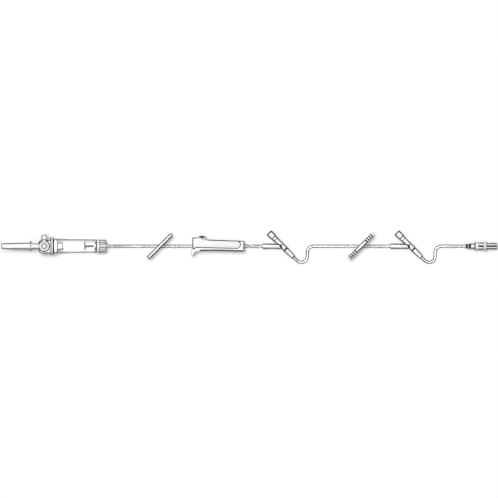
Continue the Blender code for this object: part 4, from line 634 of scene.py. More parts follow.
def woven_mesh():
    """Filter cloth: two crossed sets of fine threads, which are sine waves across Y and Z of the piece."""
    finish = bpy.data.materials.new("filter_cloth")
    finish.use_nodes = True
    tree = finish.node_tree
    shader = tree.nodes["Principled BSDF"]
    place = tree.nodes.new("ShaderNodeTexCoord").outputs["Object"]
    split = tree.nodes.new("ShaderNodeSeparateXYZ")
    tree.links.new(place, split.inputs[0])
    turns = [math_node(tree, "MULTIPLY", split.outputs[axis], 9000.0) for axis in ("Y", "Z")]
    threads = [math_node(tree, "ABSOLUTE", math_node(tree, "SINE", turn)) for turn in turns]
    height = math_node(tree, "MAXIMUM", *threads)
    colour = mixed_colour(tree, height, (0.12, 0.13, 0.14), (0.62, 0.64, 0.66))
    tree.links.new(colour, shader.inputs["Base Color"])
    tree.links.new(math_node(tree, "MULTIPLY_ADD", height, -0.2, 0.75), shader.inputs["Roughness"])
    raised = tree.nodes.new("ShaderNodeBump")
    raised.inputs["Strength"].default_value = 0.6
    raised.inputs["Distance"].default_value = 0.1 * MM
    tree.links.new(height, raised.inputs["Height"])
    tree.links.new(raised.outputs["Normal"], shader.inputs["Normal"])
    return finish


FILTER_CLOTH = woven_mesh()


# Stage


def top_camera():
    """Straight above the set, without perspective."""
    camera = bpy.data.objects.new("camera", bpy.data.cameras.new("camera"))
    camera.data.type = "ORTHO"
    camera.data.ortho_scale = 0.6972
    camera.location = (0.0001, -0.0056, 1.0)
    bpy.context.scene.collection.objects.link(camera)
    bpy.context.scene.camera = camera


def seen_share(tree):
    """1 for a ray from the camera, also through clear plastic, and 0 for light on the object."""
    rays = tree.nodes.new("ShaderNodeLightPath")
    return math_node(tree, "MAXIMUM", rays.outputs["Is Camera Ray"], rays.outputs["Is Transmission Ray"])


def white_table():
    """A wide white sheet that keeps the shadows: its own glow is only for what looks at it, and what it
    throws back on the object is that of a grey sheet."""
    half, height = 3.0, -0.02 * MM
    corners = [(-half, -half, height), (half, -half, height), (half, half, height), (-half, half, height)]
    mesh = bpy.data.meshes.new("table")
    mesh.from_pydata(corners, [], [(0, 1, 2, 3)])
    table = bpy.data.objects.new("table", mesh)
    bpy.context.scene.collection.objects.link(table)
    finish = bpy.data.materials.new("white_sheet")
    finish.use_nodes = True
    tree = finish.node_tree
    shader = tree.nodes["Principled BSDF"]
    place = tree.nodes.new("ShaderNodeTexCoord").outputs["Object"]
    sheet = mixed_colour(tree, noise(tree, place, 30.0), (0.86, 0.86, 0.86), (0.85, 0.85, 0.85))
    seen = seen_share(tree)
    tree.links.new(mixed_colour(tree, seen, (0.35, 0.35, 0.35), sheet), shader.inputs["Base Color"])
    shader.inputs["Roughness"].default_value = 0.9
    shader.inputs["Specular IOR Level"].default_value = 0.0
    shader.inputs["Emission Color"].default_value = (1, 1, 1, 1)
    tree.links.new(math_node(tree, "MULTIPLY", seen, 0.05), shader.inputs["Emission Strength"])
    mesh.materials.append(finish)


def soft_light():
    """A sky of strength 0.05 + 0.55 z squared, z the height of the direction, and one broad lamp from the
    upper left. Together they light the white table up to white and leave the mouldings below it."""
    world = bpy.data.worlds.new("studio")
    bpy.context.scene.world = world
    world.use_nodes = True
    tree = world.node_tree
    sky = tree.nodes["Background"]
    split = tree.nodes.new("ShaderNodeSeparateXYZ")
    tree.links.new(tree.nodes.new("ShaderNodeTexCoord").outputs["Generated"], split.inputs[0])
    height = math_node(tree, "MAXIMUM", split.outputs["Z"], 0.0)
    overhead = math_node(tree, "MULTIPLY_ADD", math_node(tree, "MULTIPLY", height, height), 0.55, 0.05)
    tree.links.new(math_node(tree, "MAXIMUM", overhead, seen_share(tree)), sky.inputs["Strength"])
    sky.inputs["Color"].default_value = (1, 1, 1, 1)
    lamp = bpy.data.objects.new("key_lamp", bpy.data.lights.new("key_lamp", "SUN"))
    lamp.data.energy = 2.6
    lamp.data.angle = math.radians(34)
    lamp.rotation_euler = (math.radians(-9), math.radians(-9), 0)
    bpy.context.scene.collection.objects.link(lamp)


top_camera()
white_table()
soft_light()


# Tubes


def smooth_route(points):
    """Points along one smooth curve through the route's points.

    Each span is the cubic with the end directions h:
    start (2t3-3t2+1) + h0 (t3-2t2+t) + end (3t2-2t3) + h1 (t3-t2).
    A direction is the mean of the two chords that meet there, each weighted by the other's length.
    """
    route = np.array(points, float)
    chords = np.diff(route, axis=0)
    lengths = np.linalg.norm(chords, axis=1)[:, None]
    chords /= lengths
    inner = (chords[:-1] * lengths[1:] + chords[1:] * lengths[:-1]) / (lengths[:-1] + lengths[1:])
    directions = np.concatenate([chords[:1], inner, chords[-1:]])
    curve = [route[:1]]
    for start, end, leave, arrive, (length,) in zip(route, route[1:], directions, directions[1:], lengths):
        t = np.linspace(0, 1, max(2, round(length / TUBE_POINT_SPACING)) + 1)[1:, None]
        curve.append(
            start * (2 * t**3 - 3 * t**2 + 1)
            + leave * length * (t**3 - 2 * t**2 + t)
            + end * (3 * t**2 - 2 * t**3)
            + arrive * length * (t**3 - t**2)
        )
    return np.concatenate(curve)


TUBE_FRAME = on_table(0, 0)
PINCH_FADE = 10


def stretch_of_tube(name, wall, along, side_shade_share, spans, *nodes):
    """Spans of a tube's rings as one piece: for each of them the outside there and the bore back.

    The flank value is the side share on the outside and 0 in the bore; it keeps the painted rim shade to the tube's
    sides.
    """
    shells, flanks = [], []
    for rows in spans:
        points = np.concatenate([wall[0][rows], wall[1][rows][::-1]])
        distance = np.concatenate([along[rows], along[rows][::-1]])
        shells.append(shell(points, TUBE_FRAME, closed=True, along=distance))
        flanks.append(np.repeat([1.0, 0.0], len(points) // 2)[:, None] * side_shade_share)
    piece = made(name, shells)
    flank = np.concatenate(flanks).reshape(-1).astype(np.float32)
    piece.data.attributes.new("flank", "FLOAT", "POINT").data.foreach_set("value", flank)
    return shown(piece, CLEAR_TUBING, "line", "clear_tubing", *nodes)


def hollow_tube(name, route, pinches=()):
    """A tube with a bore: rings of the centreline plus r (side cos t + up sin t).

    The side share is 1 where |cos t| is over 0.47, and 0 on the crest and the belly. Each pinch is a clamp
    with its station and a reach: the stretch between is a piece of its own. Near it the rings lean by r cos t
    along the tube, so that they end in line with its faces.
    """
    centre = smooth_route(route)
    ahead = np.gradient(centre, axis=0)
    ahead /= np.linalg.norm(ahead, axis=1, keepdims=True)
    side = np.cross((0, 0, 1), ahead)
    side /= np.linalg.norm(side, axis=1, keepdims=True)
    up = np.cross(ahead, side)
    turn = np.linspace(0, FULL_TURN, TUBE_SIDES, endpoint=False)
    ring = side[:, None] * np.cos(turn)[None, :, None] + up[:, None] * np.sin(turn)[None, :, None]
    for _, station, reach in pinches:
        near = np.clip(1.5 - (np.abs(centre[:, 0] - station) - reach) / PINCH_FADE, 0, 1)
        ring = ring + near[:, None, None] * np.cos(turn)[None, :, None] * ahead[:, None]
    wall = [centre[:, None] + radius * ring for radius in (TUBE_RADIUS, TUBE_BORE)]
    steps = np.linalg.norm(np.diff(centre, axis=0), axis=1)
    along = np.concatenate([[0], np.cumsum(steps)])[:, None]
    # The share of the painted rim shade on the outside: 1 on the tube's sides, 0 on the crest and the belly.
    side_shade_share = np.clip((np.abs(np.cos(turn)) - 0.35) / 0.12, 0, 1)
    spans, pinched, start = [], [], 0
    for clamp, station, reach in pinches:
        rows = np.flatnonzero(np.abs(centre[:, 0] - station) < reach)
        spans.append(slice(start, rows[0] + 1))
        start = rows[-1]
        joint = f"{clamp}_travel"
        between = [slice(rows[0], rows[-1] + 1)]
        stretch = stretch_of_tube(f"{name}_under_{joint}", wall, along, side_shade_share, between)
        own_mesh(stretch)
        pinched.append(stretch)
    spans.append(slice(start, len(centre)))
    tube = stretch_of_tube(f"clear_{name}", wall, along, side_shade_share, spans, name)


hollow_tube("tube_1", TUBE_1_ROUTE, [("slide_clamp_1", 153.3, 1.7)])
hollow_tube("tube_2", TUBE_2_ROUTE, [("slide_clamp_2", 435, 3.3)])
hollow_tube("tube_3", TUBE_3_ROUTE)


# Spike, hub and chamber

FLANGE_RIDGES = 30
VENT_AT = -8.8
VENT_FRAME = placed(moved(CHAMBER_FRAME, (VENT_AT, 0, 0))[:, 3], CHAMBER_FRAME[:, 2], -CHAMBER_FRAME[:, 0])


def sheath():
    """The long closed cover over the spike, a thin tapered shell with a pull rim at its mouth."""
    profile = rounded([
        (-68.9, 0, 0), (-68.9, 3.9, 1.3), (-28.2, 4.7, 0.35), (-28.2, 6.7, 0.45), (-26.0, 6.7, 0.45),
        (-26.0, 3.8, 0.25), (-26.6, 3.6, 0), (-31.0, 3.6, 0),
        (-66.7, 2.9, 0.6), (-67.9, 1.6, 0.4), (-67.9, 0, 0),
    ])
    turned_piece("spike_sheath", profile, CHAMBER_FRAME, SHEATH, "cover", "sheath", "spike_cover")


def spike_shank():
    """The spike inside the sheath: a tapered rod whose points left of the slanting plane
    x = tip + (z + r) / tan(24 degrees) move along X onto it, with two lumens through it."""
    tip, slope = -61.2, 1 / math.tan(math.radians(24))
    profile = rounded([
        (tip, 0, 0), (tip, 2.2, 0), (-30.9, 2.6, 0.4), (-30.3, 3.45, 0.3), (-25.7, 3.45, 0.1), (-25.7, 0, 0),
    ])
    fine = [np.linspace(profile[i], profile[i + 1], 24, endpoint=False) for i in range(2)]
    rows = np.concatenate([*fine, profile[2:]])
    x, radius = rows[:, :1], rows[:, 1:]
    turn = np.linspace(0, FULL_TURN, 48, endpoint=False)[None]
    across, lift = radius * np.sin(turn), radius * np.cos(turn)
    slanted = np.maximum(x + 0 * turn, tip + (lift + 2.2) * slope)
    points = np.stack([np.where(x < -40, slanted, x + 0 * turn), across, lift], axis=-1)
    shank = made("spike_shank", [shell(points, CHAMBER_FRAME)])
    lumens = []
    for aside, bore in ((-0.95, 1.0), (1.2, 0.6)):
        way = np.array([(tip - 1, 0), (tip - 1, bore), (-28, bore), (-28, 0)], float)
        lumens.append(made("lumen", [turned(way, moved(CHAMBER_FRAME, (0, aside, 0)), sides=24)]))
    merged(shank, lumens, "DIFFERENCE", CHAMBER_FRAME)
    return shown(shank, HUB_MOULDING, "line", "white_moulding")


def flange_ridges(x, radius, turn):
    """Grip ridges: a cut of depth (1 - |sin(n t / 2)|)^2 at the rim, fading out inside it and near the hub.

    The groove share paints shade in the ridges' valleys, and is also 1 on the flange's two faces and their rounded
    edges, as painted shade.
    """
    at_rim = np.clip((radius - 11.0) / 0.9, 0, 1) * np.clip((x - 1.2) / 0.9, 0, 1)
    wave = (1 - np.abs(np.sin(FLANGE_RIDGES * turn / 2))) ** 2
    faces = np.maximum(np.clip((1.0 - x) / 0.2, 0, 1), np.clip((x - 3.1) / 0.2, 0, 1))
    return 0.75 * at_rim * wave, np.maximum(at_rim * wave, faces)


def neck_flutes(x, radius, turn):
    """A long flute on each side of the neck, 0.35 deep where |sin t| is over 0.8, with painted shade over the
    flute's share.
    """
    flute = np.clip((np.abs(np.sin(turn)) - 0.7) / 0.1, 0, 1) * np.clip((-17.0 - x) / 0.3, 0, 1)
    return 0.35 * flute * (radius > 3.7), flute


def drop_nozzle_shade_lines(x, radius, turn):
    """No cut: painted shade lines, the groove share being 1 on the plug's end edge, and on the nozzle's tip and its
    two sides.
    """
    plug_end = np.clip((x - 8.9) / 0.2, 0, 1) * np.clip((radius - 6.6) / 0.3, 0, 1)
    nozzle_tip = np.clip((x - 16.1) / 0.2, 0, 1) * np.clip((radius - 3.9) / 0.2, 0, 1)
    sides = np.clip((np.abs(np.sin(turn)) - 0.62) / 0.1, 0, 1) * np.clip((x - 10.3) / 0.2, 0, 1)
    return 0.0, np.maximum(np.maximum(plug_end, nozzle_tip), sides)


def spike_hub():
    """Neck, hub block with its vent boss, grip flange, chamber plug and drop nozzle, in one moulding."""
    inlet_at = moved(CHAMBER_FRAME, (VENT_AT, 0, 4.3))[:, 3]
    side_frame = placed(inlet_at, CHAMBER_FRAME[:, 1], CHAMBER_FRAME[:, 2])
    corners = [(-16.6, 8.4, 3.9), (2.0, 8.4, 0), (2.0, -10.1, 0), (-16.6, -10.1, 5.6)]
    outline = rounded(corners, closed=True, steps=10)
    hub = made("spike_hub", [slab(outline, soft_edged(-6.3, 6.3, 1.4, 2.8), CHAMBER_FRAME)])
    well = np.array([(2.4, 0), (2.4, 5.8), (9.0, 5.8), (9.0, 0)], float)
    # The boss's moat and the rebate round the block are real grooves, their faces painted with shade by their cut
    # value.
    moat = np.array([(5.6, 6.85), (5.6, 8.3), (7.4, 8.3), (7.4, 6.85)], float)
    edge = [(-0.5, 4.2), (-0.5, 6.6), (1.1, 6.6), (1.1, 4.2)]
    rebate = slab(outline, edge, CHAMBER_FRAME, closed=True, cut=1.0)
    tools = [
        made("vent_well", [turned(well, VENT_FRAME, sides=64)]),
        made("boss_moat", [turned(moat, VENT_FRAME, closed=True, cut=1.0)]),
        made("block_rebate", [rebate]),
    ]
    merged(hub, tools, "DIFFERENCE", CHAMBER_FRAME)
    neck = rounded([
        (-25.7, 0, 0), (-25.7, 3.8, 0.3), (-24.6, 3.8, 0), (-17.3, 3.8, 0), (-16.9, 3.8, 0.1),
        (-15.4, 4.9, 0.4), (-14.0, 4.9, 0), (-14.0, 0, 0),
    ])
    flange = rounded([(0, 0, 0), (0, 12.2, 0.6), (4.1, 12.2, 0.6), (4.1, 0, 0)])
    rim_rows = [(x, 12.2) for x in (0.8, 1.0, 1.2, 2.2, 3.1, 3.3)]
    flange = np.concatenate([
        flange[:1], [(0, 10.8)], flange[1:8], rim_rows, flange[8:-1], [(4.1, 10.8)], flange[-1:],
    ])
    plug = rounded([
        (3.0, 0, 0), (3.0, 8.95, 0), (7.5, 8.95, 0.3), (8.2, 8.25, 0.3), (8.9, 8.25, 0), (9.1, 8.25, 0),
        (10.2, 8.25, 0.6), (10.2, 0, 0),
    ])
    nozzle = rounded([
        (9.5, 0, 0), (9.5, 4.8, 0), (10.3, 4.8, 0), (10.5, 4.8, 0), (16.1, 4.8, 0), (16.3, 4.8, 0),
        (17.4, 4.8, 0.5), (17.4, 4.2, 0.2), (15.6, 1.9, 0.1), (15.6, 1.4, 0), (10.0, 1.4, 0), (10.0, 0, 0),
    ])
    boss = rounded([(5.0, 5.8, 0), (5.0, 7.0, 0), (7.6, 7.0, 0.45), (7.6, 5.8, 0.2)], closed=True)
    inlet = rounded([(7.0, 0.8, 0), (7.0, 2.2, 0), (10.2, 2.2, 0.3), (10.2, 0.8, 0.1)], closed=True)
    shells = [
        turned(neck, CHAMBER_FRAME, carve=neck_flutes),
        turned(flange, CHAMBER_FRAME, sides=12 * FLANGE_RIDGES, carve=flange_ridges),
        turned(plug, CHAMBER_FRAME, carve=drop_nozzle_shade_lines),
        turned(nozzle, CHAMBER_FRAME, carve=drop_nozzle_shade_lines),
        turned(boss, VENT_FRAME, closed=True),
        turned(inlet, side_frame, closed=True, sides=40),
    ]
    joined(hub, made("hub_round_parts", shells))
    return shown(hub, HUB_MOULDING, "line", "white_moulding", "vented_spike")


def vent_parts():
    """The membrane, its round cover with a raised diamond wall, and the flap over the air inlet."""
    disc = rounded([(2.55, 0, 0), (2.55, 5.65, 0.1), (3.05, 5.65, 0.1), (3.05, 0, 0)])
    turned_piece("vent_filter", disc, VENT_FRAME, MEMBRANE, "line", "membrane", "vent_membrane")
    lid = rounded([(5.7, 0, 0), (5.7, 5.3, 0), (6.4, 5.4, 0), (7.8, 5.4, 0.45), (7.8, 0, 0)])
    cover = made("vent_lid", [turned(lid, VENT_FRAME)])
    tips = [(3.5, 0), (0, 3.5), (-3.5, 0), (0, -3.5)]
    diamond = rounded([(VENT_AT + x, y, 1.1) for x, y in tips], closed=True)
    # The moat round the diamond is a real groove, its faces painted with shade by its cut value.
    around = [(-1.2, 7.2), (-1.2, 9.5), (0.1, 9.5), (0.1, 7.2)]
    moat = slab(diamond, around, CHAMBER_FRAME, closed=True, cut=1.0)
    ridge = [(0, 6.5), (0, 8.3), (0.07, 8.45), (0.2, 8.5), (0.7, 8.5), (0.83, 8.45), (0.9, 8.3), (0.9, 6.5)]
    wall = slab(diamond, ridge, CHAMBER_FRAME, closed=True)
    merged(cover, [made("diamond_moat", [moat])], "DIFFERENCE", CHAMBER_FRAME)
    joined(cover, made("diamond_wall", [wall]))
    shown(cover, HUB_MOULDING, "line", "white_moulding", "vent_cover")

    hinge = moved(CHAMBER_FRAME, (VENT_AT - 4.7, 8.6, 4.3))
    outer = rounded([(0, 0.3, 0.2), (1.5, 7.5, 1.3), (7.9, 7.5, 1.3), (9.4, 0.3, 0.2)], closed=True)
    inner = rounded([(1.4, -0.7, 0), (2.5, 6.5, 0.6), (6.9, 6.5, 0.6), (8.4, -0.7, 0)], closed=True)
    flap = made("vent_flap", [slab(outer, soft_edged(-3.7, 3.7, 0.6, 1.0), hinge)])
    frame_line = rounded([(1.5, 1.3, 0.3), (2.6, 6.3, 0.7), (6.8, 6.3, 0.7), (7.9, 1.3, 0.3)], closed=True)
    tools = [made("flap_hollow", [slab(inner, [(0, -2.7), (0, 2.7)], hinge)])]
    # Lines round the flap on both faces: real grooves, their faces painted with shade by their cut value.
    for side in (-1, 1):
        levels = [(0, side * 3.2), (0, side * 4.2), (-0.9, side * 4.2), (-0.9, side * 3.2)]
        tools.append(made("flap_shade_line", [slab(frame_line, levels, hinge, closed=True, cut=1.0)]))
    merged(flap, tools, "DIFFERENCE", hinge)
    bead = rounded([(-3.4, 0, 0), (-3.4, 0.9, 0.25), (3.4, 0.9, 0.25), (3.4, 0, 0)])
    bead_frame = placed(hinge[:, 3], hinge[:, 2], hinge[:, 0])
    joined(flap, made("flap_bead", [turned(bead, bead_frame, sides=32)]))
    return shown(flap, FLAP_MOULDING, "flap", "flap", "vent_cap")


def chamber():
    """The clear drip chamber: a tapered cup with a soft corner and a hole in its thick floor."""
    profile = rounded([
        (4.4, 9.1, 0.2), (4.4, 10.3, 0.4), (7.8, 10.3, 0.6), (64.8, 9.2, 1.1), (64.8, 3.25, 0.2),
        (62.7, 3.25, 0.2), (62.7, 8.0, 1.0), (7.8, 9.1, 0.3),
    ], closed=True)
    turned_piece(
        "chamber_shell", profile, CHAMBER_FRAME, CLEAR_CHAMBER, "line", "clear_chamber", "drip_chamber",
        closed=True, sides=128,
    )


def filter_parts():
    """The filter's dished disc on its hollow stem, and the cloth that lies in the dish."""
    holder = rounded([
        (47.3, 4.6, 0), (47.3, 5.4, 0.2), (48.9, 5.4, 0.3),
        (48.9, 2.2, 0.6), (50.0, 1.4, 0.3), (65.1, 1.4, 0),
        (65.1, 0.75, 0), (48.4, 0.75, 0.1), (47.85, 3.4, 0), (47.85, 4.6, 0),
    ], closed=True)
    turned_piece(
        "filter_stem", holder, CHAMBER_FRAME, FILTER_MOULDING, "line", "filter_moulding", "filter_holder",
        closed=True, sides=64,
    )
    cloth = rounded([(47.3, 0, 0), (47.3, 4.45, 0.05), (47.7, 4.45, 0.05), (47.7, 0, 0)])
    turned_piece(
        "filter_disc", cloth, CHAMBER_FRAME, FILTER_CLOTH, "line", "filter_mesh", "filter_mesh", sides=64,
    )


def outlet():
    """The disc under the chamber, its finned socket for the tube, and the spigot in the chamber's floor."""
    profile = rounded([
        (61.1, 1.55, 0), (61.1, 3.1, 0.3), (65.1, 3.1, 0),
        (65.1, 9.1, 0.45), (68.3, 9.1, 0.45), (68.3, 3.4, 0.3),
        (78.6, 3.4, 0.35), (78.6, 2.25, 0.15), (69.6, 2.25, 0),
        (69.6, 1.2, 0), (65.25, 1.2, 0), (65.25, 1.55, 0),
    ], closed=True)
    shells = [turned(profile, CHAMBER_FRAME, closed=True)]
    fin = rounded([(68.0, 2.9, 0), (78.4, 2.9, 0), (78.4, 9.05, 1.6), (68.0, 9.05, 0)], closed=True)
    face = [(1.5, 0.65), (1.5, 0.4), (0.35, 0.4), (0.35, 0.65)]
    levels = np.concatenate([np.array(face) * (1, -1), soft_edged(-0.65, 0.65, 0.3, 0.3, 3), face[::-1]])
    # Painted shade lines: the groove share is 1 on the rows next to each fin face's rim.
    shade_lines = np.array([0.0, 1.0, 1.0] + [0.0] * (len(levels) - 6) + [1.0, 1.0, 0.0])[:, None]
    for turn in np.arange(8) * FULL_TURN / 8:
        radial = CHAMBER_FRAME[:, 1] * math.cos(turn) + CHAMBER_FRAME[:, 2] * math.sin(turn)
        across = np.cross(CHAMBER_FRAME[:, 0], radial)
        fin_frame = placed(CHAMBER_FRAME[:, 3], CHAMBER_FRAME[:, 0], across)
        shells.append(slab(fin, levels, fin_frame, groove=shade_lines))
    return shown(made("outlet_socket", shells), OUTLET_MOULDING, "line", "white_moulding", "outlet_cap")


sheath()
spike_shank()
spike_hub()
vent_parts()
chamber()
filter_parts()
outlet()


# Clamps


def slide_clamp(name, length, thickness, body, ribs=0, pitch=3.4):
    """A plate on its long edge with a rim round both faces and a keyhole that narrows to a slot."""
    where = CLAMP_FRAMES[name]
    half = length / 2
    outline = rounded_rectangle(half, 7, 3, steps=10)
    clamp = made(f"{name}_plate", [slab(outline, soft_edged(-thickness / 2, thickness / 2, 1.3, 0.8), where)])
    reach = half - (ribs * pitch + 0.8 if ribs else 1.6)
    inner = rounded_rectangle(reach, 5.4, 1.9, steps=6)
    recesses = [slab(inner, [(0, low), (0, high)], where) for low, high in ((1.0, 4.0), (-4.0, -1.0))]
    narrow = math.degrees(math.asin(1.0 / 2.7))
    keyhole = np.concatenate([
        arc((-2.4, 0), 2.7, 90, 270, 16),
        arc((2.4, 0), 2.7, 270, 360 - narrow, 10),
        arc((17.1, 0), 1.0, -90, 90, 10),
        arc((2.4, 0), 2.7, narrow, 90, 10),
    ])
    # Notches at the ribs' ends, their faces painted with shade by their cut value.
    notches = []
    for index in range(1, ribs + 1):
        for end in (-1, 1):
            for low, high in ((6.1, 7.5), (-7.5, -6.1)):
                middle = end * (half - index * pitch)
                left, right = middle - 1, middle + 1
                notch = np.array([(left, low), (right, low), (right, high), (left, high)])
                notches.append(slab(notch, [(0, -5), (0, 5)], where, cut=1.0))
    # Thin grooves along the edges and across the corners, their faces painted with shade by their cut value.
    low, high = thickness / 2 - 1.45, thickness / 2 - 0.22
    shade_lines = []
    for side in (-1, 1):
        if ribs:
            for edge in (6.4, -7.4):
                bar = np.array([(-reach, edge), (reach, edge), (reach, edge + 1), (-reach, edge + 1)])
                shade_lines.append(slab(bar, [(0, side * low), (0, side * high)], where, cut=1.0))
        else:
            levels = [(-0.3, side * low), (-0.3, side * high), (0.6, side * high), (0.6, side * low)]
            shade_lines.append(slab(outline, levels, where, closed=True, cut=1.0))
    if not ribs:
        curve = np.concatenate([arc((0, 0), 3.4, 12, 50, 8), arc((0, 0), 2.5, 50, 12, 8)])
        for corner in (np.array([end, rise]) for end in (-1, 1) for rise in (-1, 1)):
            across = (curve + (half - 3, 4)) * corner
            shade_lines.append(slab(across, [(0, -5), (0, 5)], where, cut=1.0))
    cutters = (*recesses, slab(keyhole, [(0, -5), (0, 5)], where), *notches, *shade_lines)
    tools = [made(f"{name}_tool", [cutter]) for cutter in cutters]
    eased(merged(clamp, tools, "DIFFERENCE", where), 0.2)
    rods = []
    for index in range(ribs):
        stretch = 5.4 - (0 if index else 1.0)
        rod = rounded([(-stretch, 0, 0), (-stretch, 1.2, 0.8), (stretch, 1.2, 0.8), (stretch, 0, 0)])
        short_rod = rounded([(1.0, 0, 0), (1.0, 1.2, 0), (stretch, 1.2, 0.8), (stretch, 0, 0)])
        for end in (-1, 1):
            middle = end * (half - (index + 0.5) * pitch)
            parts = [(short_rod, 1), (short_rod, -1)] if 0 < middle < 17.1 else [(rod, 1)]
            for side in (-1, 1):
                centre = moved(where, (middle, 0, side * (thickness / 2 - 0.7)))[:, 3]
                for part, way in parts:
                    rods.append(turned(part, placed(centre, way * where[:, 1], where[:, 2]), sides=32))
    if rods:
        joined(clamp, made(f"{name}_ribs", rods))
    return shown(clamp, CLAMP_MOULDING, body, "clamp_moulding", name)


def roller_clamp():
    """The long housing on its side: an outline carried across, a channel, a way for the tube,
    an open nose, a sunk panel on each side and two blind grooves for the roller's axle."""
    where = ROLLER_FRAME
    outline = rounded([
        (0, 12.2, 1.4), (7.6, 12.2, 1.4), (20.5, 9.3, 6.0), (72.8, 7.4, 1.4), (72.8, -7.8, 1.4),
        (32.8, -6.6, 30.0), (12.4, -6.6, 12.0), (3.6, -8.8, 0.9), (2.2, -10.2, 0.9), (2.2, -13.6, 1.7),
        (-1.4, -13.6, 1.7), (-1.4, -4.5, 0.9), (0, -3.3, 0.9),
    ], closed=True, steps=8)
    body = made("roller_housing", [slab(outline, soft_edged(-7, 7, 0.85, 2.2), where)])
    channel = rounded([(6.1, 14.5, 0), (6.1, -3.6, 1.5), (68.4, -3.6, 1.5), (68.4, 14.5, 0)], closed=True)
    nose = np.array([(-2.4, 0), (9.1, 0), (9.1, 14.5), (-2.4, 14.5)], float)
    slope = math.degrees(math.atan2(4.45 - 8.0, 58.5 - 13.5))
    groove = np.concatenate([
        arc((13.35, 8.0), 1.35, 90 + slope, 270 + slope, 12),
        arc((58.65, 4.45), 1.35, -90 + slope, 90 + slope, 12),
    ])
    panel = np.concatenate([
        [(1.0, 14.5), (1.0, -3.9), (4.8, -2.3), (8.0, -1.9)],
        arc((62.2, 2.1), 5.2, -90, 60, 16),
        [(58.2, 14.5)],
    ])
    way = np.array([(-2.4, 0), (-2.4, 2.4), (73.8, 2.4), (73.8, 0)], float)
    lower_edge = np.array([
        (9.9, -6.45), (32.8, -6.3), (71.2, -7.45), (71.2, -5.8), (32.8, -4.7), (11.5, -4.9),
    ])
    upper_edge = np.array([(20.6, 9.0), (71.2, 7.2), (71.2, 6.0), (20.6, 7.8)])
    end_edge = np.array([(71.35, -6.8), (72.5, -6.8), (72.5, 6.5), (71.35, 6.5)])
    nose_edge = np.array([(1.2, 11.95), (7.2, 11.95), (7.2, 10.8), (1.2, 10.8)])
    edges = (lower_edge, upper_edge, end_edge, nose_edge)
    lug_frame = placed(moved(where, (17.0, 10.4, 0))[:, 3], (0, 0, 1), (1, 0, 0))
    lug = rounded([(5.4, 0, 0), (5.4, 1.5, 0), (6.75, 1.5, 0.25), (6.75, 0, 0)])
    moat = np.array([(5.4, 1.5), (7.4, 1.5), (7.4, 2.3), (5.4, 2.3)])
    tools = [
        made("channel", [slab(channel, [(0, -4.3), (0, 4.3)], where)]),
        made("tube_way", [turned(way, where, sides=40)]),
        made("nose_slot", [slab(nose, [(0, -2.4), (0, 2.4)], where)]),
        made("axle_groove", [slab(groove, [(0, -5.25), (0, 5.25)], where)]),
    ]
    # The panel, edge and lug lines are real thin slots, their faces painted with shade by their cut value.
    line_around = np.array([(-0.65, 5.5), (-0.65, 8.6), (0.6, 8.6), (0.6, 5.5)])
    for side in (-1, 1):
        tools += [
            made("panel", [slab(panel, [(0, side * 6.3), (0, side * 8.5)], where)]),
            made("panel_shade_line", [slab(panel, line_around * (1, side), where, closed=True, cut=1.0)]),
            *(made("edge_shade_line", [slab(edge, [(0, side * 5.4), (0, side * 8.6)], where, cut=1.0)]) for edge in edges),
            made("lug_shade_line", [turned(moat * (side, 1), lug_frame, closed=True, sides=48, cut=1.0)]),
        ]
    eased(merged(body, tools, "DIFFERENCE", where), 0.2)
    joined(body, made("lugs", [turned(lug * (side, 1), lug_frame, sides=48) for side in (-1, 1)]))
    shown(body, CLAMP_MOULDING, "line", "clamp_moulding", "roller_clamp_body")


THUMB_RIDGES = 26


def roller_ridges(x, radius, turn):
    """Thumb ridges: a cut of depth (1 - cos(n t)) / 4 at the rim, with painted shade in the valleys by the same
    share.
    """
    at_rim = np.clip((radius - 5.9) / 0.5, 0, 1)
    wave = 0.5 - 0.5 * np.cos(THUMB_RIDGES * turn)
    return 0.5 * at_rim * wave, at_rim * wave


def thumb_roller():
    """The roller on its two stub axles, dished on both faces."""
    side = [
        (5.1, 0, 0), (5.1, 1.2, 0.25), (3.4, 1.2, 0.2), (3.4, 5.3, 0.3), (4.0, 5.4, 0.15), (4.0, 6.9, 0.5),
    ]
    profile = rounded([(-x, r, f) for x, r, f in side] + side[::-1])
    where = placed(moved(ROLLER_FRAME, (13.5, 8.0, 0))[:, 3], (0, 0, 1), (1, 0, 0))
    turned_piece(
        "thumb_roller", profile, where, ROLLER_MOULDING, "roller", "roller_moulding", "roller",
        sides=10 * THUMB_RIDGES, carve=roller_ridges,
    )


slide_clamp("slide_clamp_1", 47.3, 5.2, "plain_clamp")
slide_clamp("slide_clamp_2", 48.4, 5.6, "ribbed_clamp", ribs=4)
roller_clamp()
thumb_roller()


# Side ports


